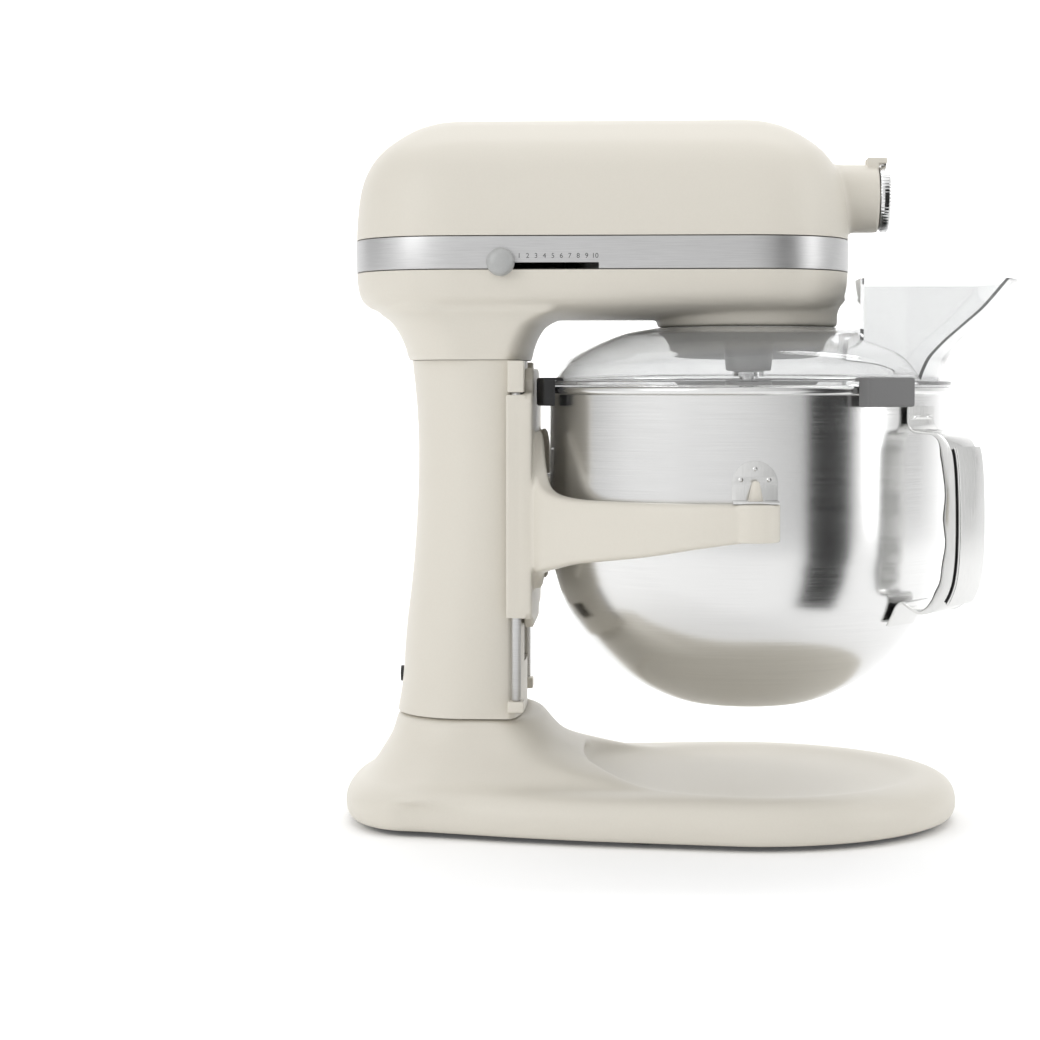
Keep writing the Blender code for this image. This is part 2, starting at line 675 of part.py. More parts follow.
def make_planetary(paints):
    dish = revolve("planetary_dish", [
        (0.0064, DRUM_LOW_Z - SEAM_GAP), (DRUM_RADIUS - 0.0005, DRUM_LOW_Z - SEAM_GAP),
        (DRUM_RADIUS - 0.0005, 0.2930), (0.0500, 0.2885), (0.0450, DISH_LOW_Z), (0.0064, DISH_LOW_Z),
    ], (AXIS_X, 0.0, 0.0), paints["grey"], steps=30)
    beater_y = -BEATER_OFFSET
    boss = rod("beater_boss", (AXIS_X, beater_y, BOSS_LOW_Z), (AXIS_X, beater_y, 0.2920), BOSS_RADIUS,
        tool=True,
               end_radius=0.0150, steps=24)
    join(dish, boss)
    cut(dish, rod("beater_bore", (AXIS_X, beater_y, 0.250), (AXIS_X, beater_y, 0.310), 0.0064, tool=True))
    shaft = rod("planetary_shaft", (AXIS_X, 0.0, DISH_LOW_Z), (AXIS_X, 0.0, 0.3645), 0.0060, paints["gear"])
    set_origin(shaft, (AXIS_X, 0.0, DISH_LOW_Z))
    gear = spur_gear("centre_gear", CENTRE_TEETH, GEAR_MODULE, pi / CENTRE_TEETH, 0.0064, (AXIS_X, 0.0),
        0.3180,
                     0.3280, paints["gear"])
    bevel = bevel_gear("centre_bevel_gear", CENTRE_BEVEL_TEETH, HUB_BEVEL_TEETH, BEVEL_MODULE, 0.0, 0.0064,
        0.007,
                       (AXIS_X, 0.0, HUB_AXIS_Z), Matrix.Identity(4), paints["gear"])
    return [dish, shaft, gear, bevel]


def make_ring_gear(paint):
    ring = prism("ring_gear", [circle(0.0506, 30), gear_outline(RING_TEETH, RING_MODULE, -pi / 2.0, True)],
        0.2985, 0.3065,
                 paint)
    ring.data.transform(Matrix.Translation((AXIS_X, 0.0, 0.0)))
    return ring


def make_planetary_bearing(paint):
    return revolve("planetary_bearing", [
        (0.0064, DRUM_ROOF_TOP_Z), (0.0137, DRUM_ROOF_TOP_Z), (0.0137, DRUM_ROOF_Z), (0.0064, DRUM_ROOF_Z),
    ], (AXIS_X, 0.0, 0.0), paint, steps=20)


def make_beater(paints):
    y = -BEATER_OFFSET
    origin = (AXIS_X, y, COLLAR_LOW_Z)
    shaft = rod("beater_shaft", (AXIS_X, y, SHAFT_LOW_Z), (AXIS_X, y, 0.3078), BEATER_SHAFT_RADIUS,
        paints["chrome"])
    cut(shaft, rod("pin_bore", (AXIS_X - 0.02, y, 0.2240), (AXIS_X + 0.02, y, 0.2240), 0.0019, tool=True,
        steps=12))
    set_origin(shaft, origin)
    pin = rod("beater_pin", (AXIS_X - 0.0112, y, 0.2240), (AXIS_X + 0.0112, y, 0.2240), 0.0015,
        paints["chrome"],
              steps=12)
    set_origin(pin, origin)
    collar = revolve("beater_collar", [
        (0.0064, BOSS_LOW_Z - SEAM_GAP), (0.0095, BOSS_LOW_Z - SEAM_GAP), (0.0095, COLLAR_LOW_Z),
        (0.0064, COLLAR_LOW_Z),
    ], (AXIS_X, y, 0.0), paints["chrome"], steps=20)
    pinion = spur_gear("beater_pinion", BEATER_PINION_TEETH, RING_MODULE, pi / BEATER_PINION_TEETH, 0.0064,
                       (AXIS_X, y), 0.2985, 0.3065, paints["gear"])
    return [shaft, pin, collar, pinion, make_flat_beater(paints["grey"])]


def make_flat_beater(paint):
    y = -BEATER_OFFSET
    side = [(0.0120, 0.1900), (0.0450, 0.1860), (0.0660, 0.1760), (0.0760, 0.1620), (0.0780, 0.1450),
            (0.0720, 0.1265), (0.0600, 0.1090), (0.0450, 0.0943), (0.0300, 0.0845), (0.0150, 0.0795)]
    outer = side + [(0.0, 0.0780)] + [(-x, z) for x, z in side[::-1]]
    upper = [(0.0080, 0.1815), (0.0430, 0.1780), (0.0600, 0.1690), (0.0680, 0.1580), (0.0700, 0.1470),
        (0.0080, 0.1290)]
    lower = [(0.0080, 0.1215), (0.0690, 0.1390), (0.0645, 0.1275), (0.0540, 0.1125), (0.0405, 0.0993),
        (0.0270, 0.0911),
             (0.0080, 0.0862)]
    outlines = [outer, upper, lower]
    outlines += [[(-x, z) for x, z in hole[::-1]] for hole in (upper, lower)]
    upright = Matrix.Translation((AXIS_X, y, 0.0)) @ Matrix.Rotation(pi / 2.0, 4, "X")
    beater = prism("flat_beater", outlines, -0.0035, 0.0035, paint, frame=upright)
    hub = rod("beater_hub", (AXIS_X, y, 0.1780), (AXIS_X, y, 0.2360), 0.0120, tool=True, end_radius=0.0125)
    join(beater, hub)
    socket = rod("beater_socket", (AXIS_X, y, 0.2100), (AXIS_X, y, 0.2500), 0.0065, tool=True)
    notch = block("beater_notch", (AXIS_X - 0.0150, y - 0.0020, 0.2218), (AXIS_X + 0.0150, y + 0.0020,
        0.2400),
                  tool=True)
    cut(beater, socket, notch)
    return set_origin(beater, (AXIS_X, y, COLLAR_LOW_Z))


def make_hub_drive(paints):
    gear = bevel_gear("hub_bevel_gear", HUB_BEVEL_TEETH, CENTRE_BEVEL_TEETH, BEVEL_MODULE,
        pi + pi / HUB_BEVEL_TEETH,
                      0.0043, 0.007, (AXIS_X, 0.0, HUB_AXIS_Z), Matrix.Rotation(-pi / 2.0, 4, "Y"),
                      paints["gear"])
    shaft = along_x("hub_shaft", [
        (0.0, 0.0650), (0.0060, 0.0650), (0.0060, 0.0150), (0.0039, 0.0150), (0.0039, 0.0), (0.0, 0.0),
    ], 0.0520, 0.0, HUB_AXIS_Z, paints["gear"], 20, closed=False)
    cut(shaft, block("hub_socket", (0.0950, -0.0036, HUB_AXIS_Z - 0.0036),
        (0.1200, 0.0036, HUB_AXIS_Z + 0.0036),
                     tool=True))
    return [gear, shaft]


def make_hub_bushing(paint):
    return along_x("hub_bushing", [
        (0.0064, 0.010), (0.0146, 0.010), (0.0146, 0.0), (0.0064, 0.0),
    ], 0.0900, 0.0, HUB_AXIS_Z, paint, 24)


def make_hub_cover(paint):
    thick = HUB_COVER_FRONT_X - HUB_FRONT_X - SEAM_GAP
    cover = along_x("hub_cover", [
        (0.0, thick), (0.0176, thick), (0.0198, thick - 0.0012), (0.0198, 0.0), (0.0, 0.0),
    ], HUB_FRONT_X + SEAM_GAP, 0.0, HUB_AXIS_Z, paint, 36, closed=False)
    tab = block("hub_cover_knuckle", (HUB_HINGE_X - 0.0016, -0.0038, HUB_AXIS_Z + 0.0150),
                (HUB_HINGE_X + 0.0018, 0.0038, HUB_AXIS_Z + HUB_HINGE_RISE + 0.0016), tool=True, bevel=0.0005)
    return join(cover, tab)


def make_hub_knob(paint):
    knob = revolve("hub_knob", [
        (0.0, 0.0330), (0.0070, 0.0330), (0.0080, 0.0320), (0.0080, 0.0230), (0.0070, 0.0222),
        (0.0030, 0.0222),
        (0.0030, 0.0152), (0.0, 0.0152),
    ], (0.1080, 0.0, HUB_AXIS_Z), paint, steps=20, closed=False, turn=(-pi / 2.0, 0.0, 0.0))
    return knob


# ---- speed control ------------------------------------------------------
def make_speed_knob(paints):
    knob = revolve("speed_knob", [
        (0.0, 0.0085), (0.0050, 0.0082), (0.0072, 0.0072), (KNOB_RADIUS, 0.0050), (KNOB_RADIUS, 0.0008),
        (0.0074, 0.0), (0.0, 0.0),
    ], (KNOB_X, -HEAD_HALF_WIDTH - 0.0004, KNOB_Z), paints["grey"], steps=28, closed=False,
    turn=(pi / 2.0, 0.0, 0.0))
    stem = rod("knob_stem", (KNOB_X, -0.0730, SLOT_Z), (KNOB_X, -0.0661, SLOT_Z), 0.0013, tool=True, steps=12)
    join(knob, stem)
    slider = block("speed_slider", (KNOB_X - 0.006, -0.0658, 0.3245), (KNOB_X + 0.006, -0.0620, 0.3350),
        paints["black"])
    return [knob, set_origin(slider, (KNOB_X, -0.0658, SLOT_Z))]


def make_control_board(paint):
    board = block("control_board", (-0.1765, -0.028, 0.3250), (-0.1750, 0.028, 0.3660), paint)
    for y in (-0.018, 0.018):
        join(board, rod("board_post", (-0.1755, y, 0.3600), (-0.1603, y, 0.3600), 0.0025, tool=True,
            steps=12))
    return board


def make_cord_gland(paint):
    return along_x("cord_gland", [
        (0.0032, 0.012), (0.0048, 0.012), (0.0048, 0.0), (0.0032, 0.0),
    ], -0.1690, 0.0, 0.085, paint, 20)


# ---- bowl lift ----------------------------------------------------------
UPRIGHT_YZ = Matrix(((0, 0, 1, 0), (1, 0, 0, 0), (0, 1, 0, 0), (0, 0, 0, 1)))


def arm_rings(side):
    """(x, y, half thickness across, low, high) along one arm from the plate to its boss."""
    rows = [
        (-0.0845, 0.0380, 0.0050, 0.1400, 0.2350), (-0.0828, 0.0520, 0.0052, 0.1490, 0.2190),
        (-0.0795, 0.0620, 0.0058, 0.1520, 0.2050), (-0.0725, 0.0710, 0.0064, 0.1545, 0.1985),
        (-0.0590, 0.0830, 0.0068, 0.1585, 0.1958), (-0.0400, 0.0990, 0.0068, 0.1615, ARM_TOP_Z),
        (-0.0180, 0.1150, 0.0070, 0.1650, ARM_TOP_Z), (0.0080, 0.1270, 0.0075, 0.1700, ARM_TOP_Z),
        (0.0300, 0.1310, 0.0085, 0.1735, ARM_TOP_Z), (AXIS_X + 0.002, 0.1310, 0.0100, 0.1749, ARM_TOP_Z),
    ]
    rings = []
    for i, (x, y, half, low, high) in enumerate(rows):
        before, after = rows[max(i - 1, 0)], rows[min(i + 1, len(rows) - 1)]
        along = Vector((after[0] - before[0], after[1] - before[1])).normalized()
        nx, ny = -along.y * half, along.x * half
        soft = 0.18
        ring = []
        for share, z_share in ((-1.0, soft), (-1.0 + soft, 0.0), (1.0 - soft, 0.0), (1.0, soft),
                               (1.0, 1.0 - soft), (1.0 - soft, 1.0), (-1.0 + soft, 1.0), (-1.0, 1.0 - soft)):
            lean = 0.0035
            z = low + lean * (z_share / soft) if z_share <= soft else high - lean * ((1.0 - z_share) / soft)
            ring.append((x + nx * share, side * (y + ny * share), z))
        rings.append(ring)
    return rings


def make_carriage(paint):
    edge = ROD_Y + 0.0041
    half = [
        (0.0340, PLATE_LOW_Z), (0.0400, PLATE_LOW_Z + 0.005), (0.0404, SLEEVE_LOW_Z - 0.0012),
        (edge - 0.003, SLEEVE_LOW_Z),
        (edge, SLEEVE_LOW_Z + 0.004), (edge, SLEEVE_TOP_Z - 0.004), (edge - 0.003, SLEEVE_TOP_Z),
        (0.0404, SLEEVE_TOP_Z + 0.0012), (0.0400, PLATE_TOP_Z - 0.007), (0.0340, PLATE_TOP_Z),
    ]
    outline = half + [(-y, z) for y, z in half[::-1]]
    carriage = prism("bowl_lift_carriage", [outline], PLATE_REAR_X, PLATE_FRONT_X, paint, frame=UPRIGHT_YZ)
    neck = block("carriage_neck", (-0.1000, -0.016, 0.150), (PLATE_REAR_X + 0.001, 0.016, 0.200), tool=True)
    join(carriage, neck)
    for side in (-1, 1):
        y_low, y_high = sorted((side * 0.0558, side * (edge - 0.0006)))
        sleeve = block("sleeve", (ROD_X - 0.0060, y_low, SLEEVE_LOW_Z + 0.0012),
                       (PLATE_REAR_X + 0.002, y_high, SLEEVE_TOP_Z - 0.0012), tool=True)
        arm = loft("arm", arm_rings(side), tool=True)
        boss = rod("arm_boss", (AXIS_X, side * 0.1300, 0.1742), (AXIS_X, side * 0.1300, ARM_TOP_Z + 0.0003),
            ARM_BOSS_RADIUS,
                   tool=True, steps=28)
        pin = rod("cone_pin", (AXIS_X, side * ARM_PIN_Y, ARM_TOP_Z - 0.003), (AXIS_X, side * ARM_PIN_Y,
            PIN_TOP_Z),
                  PIN_LOW_RADIUS, tool=True, end_radius=PIN_TOP_RADIUS, steps=16)
        join(carriage, sleeve, arm, boss, pin)
    room = rod("bowl_room", (AXIS_X, 0.0, 0.100), (AXIS_X, 0.0, 0.300), BOWL_RADIUS + 0.0022, tool=True,
        steps=56)
    cut(carriage, room)
    for side in (-1, 1):
        cut(carriage, rod("sleeve_bore", (ROD_X, side * ROD_Y, 0.110), (ROD_X, side * ROD_Y, 0.270), 0.0033,
            tool=True,
                          steps=16))
    return carriage


def make_lift_yoke(paint):
    slot_z = LEVER_Z + LIFT_TRAVEL / 2.0
    reach = CRANK_THROW + CRANK_PIN_RADIUS + 0.0009
    near = CRANK_THROW * cos(pi / 4.0) - CRANK_PIN_RADIUS - 0.0009
    half = CRANK_PIN_RADIUS + YOKE_SLACK
    outer = [(LEVER_X - reach - 0.0022, slot_z - half - 0.003), (-0.1004, slot_z - half - 0.003),
             (-0.1004, slot_z + half + 0.003), (LEVER_X - reach - 0.0022, slot_z + half + 0.003)]
    slot = [(LEVER_X - reach, slot_z - half), (LEVER_X - near, slot_z - half),
        (LEVER_X - near, slot_z + half),
            (LEVER_X - reach, slot_z + half)]
    upright = Matrix.Rotation(pi / 2.0, 4, "X")
    return prism("lift_yoke", [outer, slot], -0.0115, -0.0060, paint, frame=upright)


def make_latch_wire(paint):
    run = [(-0.0848, 0.198), (-0.0828, 0.212), (-0.0840, 0.222)]
    points = [(x, -0.0056, z) for x, z in run] + [(x, 0.0056, z) for x, z in run[::-1]]
    return wire("latch_wire", points, 0.0008, paint)


def make_lift_lever(paints):
    origin = (LEVER_X, 0.0, LEVER_Z)
    drop = CRANK_THROW * cos(pi / 4.0)
    pin_at = (LEVER_X - drop, LEVER_Z + drop)
    arm = rod("lift_crank", (LEVER_X, 0.0185, LEVER_Z), (LEVER_X, 0.0247, LEVER_Z), 0.0085, paints["grey"])
    shaft = rod("lever_shaft", (LEVER_X, 0.0240, LEVER_Z), (LEVER_X, 0.0640, LEVER_Z), 0.0050, tool=True)
    web = block("crank_web", (-0.0038, 0.0188, 0.0), (0.0038, 0.0245, CRANK_THROW), tool=True)
    web.rotation_euler = (0.0, -pi / 4.0, 0.0)
    web.location = (LEVER_X, 0.0, LEVER_Z)
    eye = rod("crank_eye", (pin_at[0], 0.0186, pin_at[1]), (pin_at[0], 0.0246, pin_at[1]), 0.0052,
        tool=True, steps=16)
    pin = rod("crank_pin", (pin_at[0], 0.0040, pin_at[1]), (pin_at[0], 0.0220, pin_at[1]), CRANK_PIN_RADIUS,
              tool=True, steps=16)
    join(arm, shaft, web, eye, pin)
    lever = wire("lift_lever", [
        (LEVER_X, 0.0670, LEVER_Z - 0.004), (LEVER_X, 0.0670, LEVER_Z + 0.012),
        (LEVER_X, 0.0730, LEVER_Z + 0.030),
        (LEVER_X, 0.0730, LEVER_Z + 0.078),
    ], 0.0038, paints["chrome"])
    hub = rod("lever_hub", (LEVER_X, 0.0605, LEVER_Z), (LEVER_X, 0.0715, LEVER_Z), 0.0080, tool=True)
    join(lever, hub)
    cut(lever, rod("lever_socket", (LEVER_X, 0.0550, LEVER_Z), (LEVER_X, 0.0645, LEVER_Z), 0.0053, tool=True))
    grip = revolve("lever_grip", [
        (0.0, 0.0340), (0.0050, 0.0330), (0.0085, 0.0280), (0.0090, 0.0200), (0.0062, 0.0), (0.0, 0.0),
    ], (LEVER_X, 0.0730, LEVER_Z + 0.0785), paints["black"], steps=20, closed=False)
    return [set_origin(arm, origin), set_origin(lever, origin), grip]


# ---- bowl ---------------------------------------------------------------
BOWL_OUTER = [
    (BOWL_RADIUS, 0.2555), (BOWL_RADIUS, 0.1700), (0.1166, 0.1550), (0.1130, 0.1400), (0.1072, 0.1255),
    (0.0980, 0.1115), (0.0850, 0.0975), (0.0660, 0.0828), (0.0430, 0.0722), (0.0220, 0.0690),
]


def make_bowl(paint):
    inner = [(r - BOWL_WALL * 0.9, z + BOWL_WALL * 0.9) for r, z in BOWL_OUTER[2:]]
    inner = [(BOWL_RADIUS - BOWL_WALL, 0.1703)] + inner
    rim = [(BOWL_RADIUS - BOWL_WALL, BOWL_RIM_Z), (0.1203, BOWL_RIM_Z), (BOWL_RIM_RADIUS, 0.2592),
           (BOWL_RIM_RADIUS, 0.2572), (0.1203, 0.2558)]
    profile = [(0.0, BOWL_BOTTOM_Z + BOWL_WALL)] + inner[::-1] + rim + BOWL_OUTER + [(0.0, BOWL_BOTTOM_Z)]
    bowl = revolve("bowl", profile, (AXIS_X, 0.0, 0.0), paint, steps=32, closed=False)
    back = AXIS_X - BOWL_RADIUS
    stud = rod("rear_stud", (back - 0.0050, 0.0, 0.2060), (back - 0.0024, 0.0, 0.2060), 0.0036, tool=True,
        steps=16)
    neck = rod("stud_neck", (back - 0.0030, 0.0, 0.2060), (back + 0.0006, 0.0, 0.2060), 0.0016, tool=True,
        steps=12)
    return join(bowl, join(stud, neck))


def make_bowl_bracket(name, side, paint):
    low_z = ARM_TOP_Z + 0.0005
    dome = [(0.0127 * cos(a), 0.2063 + 0.0127 * sin(a)) for a in [pi * i / 10.0 for i in range(11)]]
    outline = [(-0.0127, low_z), (0.0127, low_z)] + dome
    upright = Matrix.Translation((AXIS_X, 0.0, 0.0)) @ Matrix.Rotation(pi / 2.0, 4, "X")
    span = sorted((-side * 0.1120, -side * 0.1204))
    plate = prism(name, [outline], span[0], span[1], paint, frame=upright)
    y_low, y_high = sorted((side * 0.1120, side * 0.1385))
    flange = block("bracket_flange", (AXIS_X - 0.0127, y_low, low_z - 0.0001), (AXIS_X + 0.0127, y_high,
        low_z + 0.0014),
                   tool=True)
    join(plate, flange)
    wall = rod("bracket_wall", (AXIS_X, 0.0, 0.180), (AXIS_X, 0.0, 0.230), BOWL_RADIUS + 0.0003, tool=True,
        steps=44)
    hole = rod("bracket_hole", (AXIS_X, side * ARM_PIN_Y, 0.190), (AXIS_X, side * ARM_PIN_Y, 0.205), 0.0052,
        tool=True)
    return cut(plate, wall, hole)


def handle_rings(path, half_width, depths, outer):
    """Rectangular sections along a path in the handle's own upright plane, each as deep as its depth."""
    across = Vector((-sin(HANDLE_ANGLE), cos(HANDLE_ANGLE), 0.0))
    out = Vector((cos(HANDLE_ANGLE), sin(HANDLE_ANGLE), 0.0))
    rings = []
    for i, (r, z) in enumerate(path):
        before, after = path[max(i - 1, 0)], path[min(i + 1, len(path) - 1)]
        run = Vector((after[0] - before[0], after[1] - before[1])).normalized()
        normal = Vector((-run.y, run.x))
        ring = []
        for offset, side in ((-depths[i], -1), (outer, -1), (outer, 1), (-depths[i], 1)):
            p = Vector((r, z)) + normal * offset
            ring.append(Vector((AXIS_X, 0.0, p.y)) + out * p.x + across * side * half_width)
        rings.append(ring)
    return rings


def make_handle(paints):
    strap = [
        (0.1206, 0.2490), (0.1206, 0.2400), (0.1220, 0.2365), (0.1255, 0.2345), (0.1360, 0.2338),
        (0.1430, 0.2315),
        (0.1478, 0.2250), (0.1498, 0.2150), (0.1508, 0.2000), (0.1512, 0.1860), (0.1512, 0.1720),
        (0.1505, 0.1590),
        (0.1485, 0.1480), (0.1440, 0.1390), (0.1370, 0.1335), (0.1290, 0.1320), (0.1225, 0.1345),
        (0.1178, 0.1370), (0.1140, 0.1345), (0.1112, 0.1290), (0.1080, 0.1230),
    ]
    fingers = [0.0050, 0.0085, 0.0085, 0.0074, 0.0092, 0.0074, 0.0090, 0.0085, 0.0085, 0.0050]
    depths = [STRAP_HALF] * 5 + fingers + [STRAP_HALF] * 6
    half = HANDLE_WIDTH / 2.0
    grip = strap[6:14]
    return [
        loft("handle_strap", handle_rings(strap, half, depths, STRAP_HALF), paints["steel"]),
        loft("handle_inlay", handle_rings(grip, half - 0.0015, [-0.0011] * 8, 0.0020), paints["black"]),
        loft("handle_cover", handle_rings(grip, half, [-0.0023] * 8, 0.0039), paints["steel"]),
    ]


# ---- lid ----------------------------------------------------------------
def chute_ring(z, reach, half_width, back):
    swing = asin(half_width / reach)
    ring = []
    for i in range(9):
        a = swing * (i / 4.0 - 1.0)
        ring.append((AXIS_X + reach * cos(a), reach * sin(a), z))
    ring += [(AXIS_X + back, half_width * share, z) for share in (1.0, -1.0)]
    return ring


def make_lid(paint):
    dome_in = [(LID_OPENING, 0.2925), (0.0755, 0.2893), (0.0940, 0.2822), (0.1042, 0.2763), (0.1100, 0.2692),
               (0.1140, 0.2606)]
    dome_out = [(LID_OPENING, 0.2950), (0.0760, 0.2919), (0.0950, 0.2847), (0.1061, 0.2782), (0.1124, 0.2700),
                (0.1158, 0.2634),
                (LID_FLANGE_RADIUS, 0.2634), (LID_FLANGE_RADIUS, 0.2606)]
    lid = revolve("lid", dome_out + dome_in[::-1], (AXIS_X, 0.0, 0.0), paint, steps=32)
    line = [(0.2608, 0.1151), (0.2650, 0.1158), (0.2708, 0.1176), (0.2775, 0.1206), (0.2866, 0.1279),
            (0.2957, 0.1370), (0.3066, 0.1479), (CHUTE_TOP_Z, CHUTE_TIP)]
    outer = loft("chute", [
        chute_ring(z, reach, CHUTE_HALF_WIDTH, CHUTE_BACK) for z, reach in line
    ], tool=True)
    under = revolve("dome_space", [(0.0, 0.2925)] + dome_in + [(0.1140, 0.2500), (0.0, 0.2500)],
        (AXIS_X, 0.0, 0.0),
                    tool=True, steps=32, closed=False)
    cut(outer, under)
    join(lid, outer)
    line[0] = (0.2560, 0.1148)
    line[-1] = (CHUTE_TOP_Z + 0.004, CHUTE_TIP + 0.0036)
    inner = loft("chute_space", [
        chute_ring(z, reach - 0.0028, CHUTE_HALF_WIDTH - LID_WALL, CHUTE_BACK + LID_WALL) for z, reach in line
    ], tool=True)
    return cut(lid, inner)


def make_lid_clip(name, angle, half_length, paint):
    low = block(name, (0.1170, -half_length, 0.2488), (0.1295, half_length, 0.2654), paint, bevel=0.0012)
    low.data.transform(Matrix.Translation((AXIS_X, 0.0, 0.0)) @ Matrix.Rotation(angle, 4, "Z"))
    gap = revolve(name + "_gap", [
        (0.0, 0.2637), (LID_FLANGE_RADIUS + 0.0004, 0.2637), (LID_FLANGE_RADIUS + 0.0004, 0.2400),
        (0.0, 0.2400),
    ], (AXIS_X, 0.0, 0.0), tool=True, steps=44, closed=False)
    dome = revolve(name + "_dome", [
        (0.0, 0.2800), (0.1165, 0.2800), (0.1165, 0.2500), (0.0, 0.2500),
    ], (AXIS_X, 0.0, 0.0), tool=True, steps=44, closed=False)
    return cut(low, gap, dome)


def build():
    paints = make_materials()
    make_base(paints["paint"])
    make_base_plate(paints["black"])
    make_feet(paints["rubber"])
    make_column(paints["paint"])
    make_rods(paints["trim"])
    make_lower_housing(paints["paint"])
    make_trim_band(paints["trim"])
    make_upper_cover(paints["paint"])
    make_motor(paints)
    make_rotor(paints)
    make_gear_shaft(paints)
    make_gear_bearing(paints["bronze"])
    make_planetary(paints)
    make_ring_gear(paints["gear"])
    make_planetary_bearing(paints["bronze"])
    make_beater(paints)
    make_hub_drive(paints)
    make_hub_bushing(paints["bronze"])
    make_hub_cover(paints["chrome"])
    make_hub_knob(paints["black"])
    make_speed_knob(paints)
    make_control_board(paints["board"])
    make_cord_gland(paints["rubber"])
    make_carriage(paints["paint"])
    make_lift_yoke(paints["gear"])
    make_latch_wire(paints["chrome"])
    make_lift_lever(paints)
    make_bowl(paints["steel"])
    make_bowl_bracket("bowl_bracket_left", -1, paints["steel"])
    make_bowl_bracket("bowl_bracket_right", 1, paints["steel"])
    make_handle(paints)
    make_lid(paints["clear"])
    make_lid_clip("lid_clip_front", radians(-53.5), 0.0175, paints["clip"])
    make_lid_clip("lid_clip_rear", radians(180.0 + 18.0), 0.0080, paints["rubber"])


clear_scene()
MIXER, CUTTERS = make_collections()
build()
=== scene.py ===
"""Visual model of the bowl-lift stand mixer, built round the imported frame. Metres, +Z up, hub toward +X."""

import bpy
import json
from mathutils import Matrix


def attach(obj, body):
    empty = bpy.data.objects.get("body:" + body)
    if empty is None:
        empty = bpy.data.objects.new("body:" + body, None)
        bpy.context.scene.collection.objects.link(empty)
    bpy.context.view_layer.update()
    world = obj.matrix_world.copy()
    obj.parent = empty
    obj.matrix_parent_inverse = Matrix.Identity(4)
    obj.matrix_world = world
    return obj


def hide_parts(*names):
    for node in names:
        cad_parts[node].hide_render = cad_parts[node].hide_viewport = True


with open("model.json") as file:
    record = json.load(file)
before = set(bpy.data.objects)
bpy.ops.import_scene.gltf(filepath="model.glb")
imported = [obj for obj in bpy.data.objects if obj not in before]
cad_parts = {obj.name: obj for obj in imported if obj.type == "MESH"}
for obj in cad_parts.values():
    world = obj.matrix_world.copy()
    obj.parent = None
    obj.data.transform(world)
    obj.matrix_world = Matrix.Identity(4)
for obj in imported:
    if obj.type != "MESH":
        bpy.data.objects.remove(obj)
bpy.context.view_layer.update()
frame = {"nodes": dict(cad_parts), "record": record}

import json
from math import asin, cos, pi, radians, sin, sqrt

import bmesh
import bpy
from mathutils import Matrix, Vector

# ---- sizes that several pieces share ---------------------------------------
AXIS_X = 0.0406  # the upright axis of bowl, lid and gear drum
BEATER_Y = -0.027
HEAD = (-0.1943, 0.1004, 0.0720, 0.068, 0.066)  # rear, front, half width, rear and front end lengths
HEAD_SIDE = -0.0720
BAND_LOW, BAND_TOP = 0.3277, 0.3469
SLOT_LOW, SLOT_TOP, SLOT_REAR, SLOT_FRONT = 0.3279, 0.3315, -0.1060, -0.0472
NECK_LOW = 0.2759
DRUM_R, DRUM_LOW, DRUM_BORE = 0.0540, 0.2957, 0.0510
ROOF_LOW, ROOF_TOP = 0.3085, 0.3115
HUB_Z, HUB_BORE = 0.3724, 0.0150
HUB_SCREW_X = 0.1080
BOWL_R, BOWL_WALL = 0.1184, 0.0012
ARM_TOP, PIN_Y = 0.1955, 0.1295
COLUMN_FRONT = -0.0923
ROD_X, ROD_Y, ROD_LOW, ROD_TOP = -0.0953, 0.0594, 0.0763, 0.2687
LEVER_X, LEVER_Z = -0.117, 0.150


# ---- materials ------------------------------------------------------------
NOISE_LOW, NOISE_HIGH = 0.3, 0.7


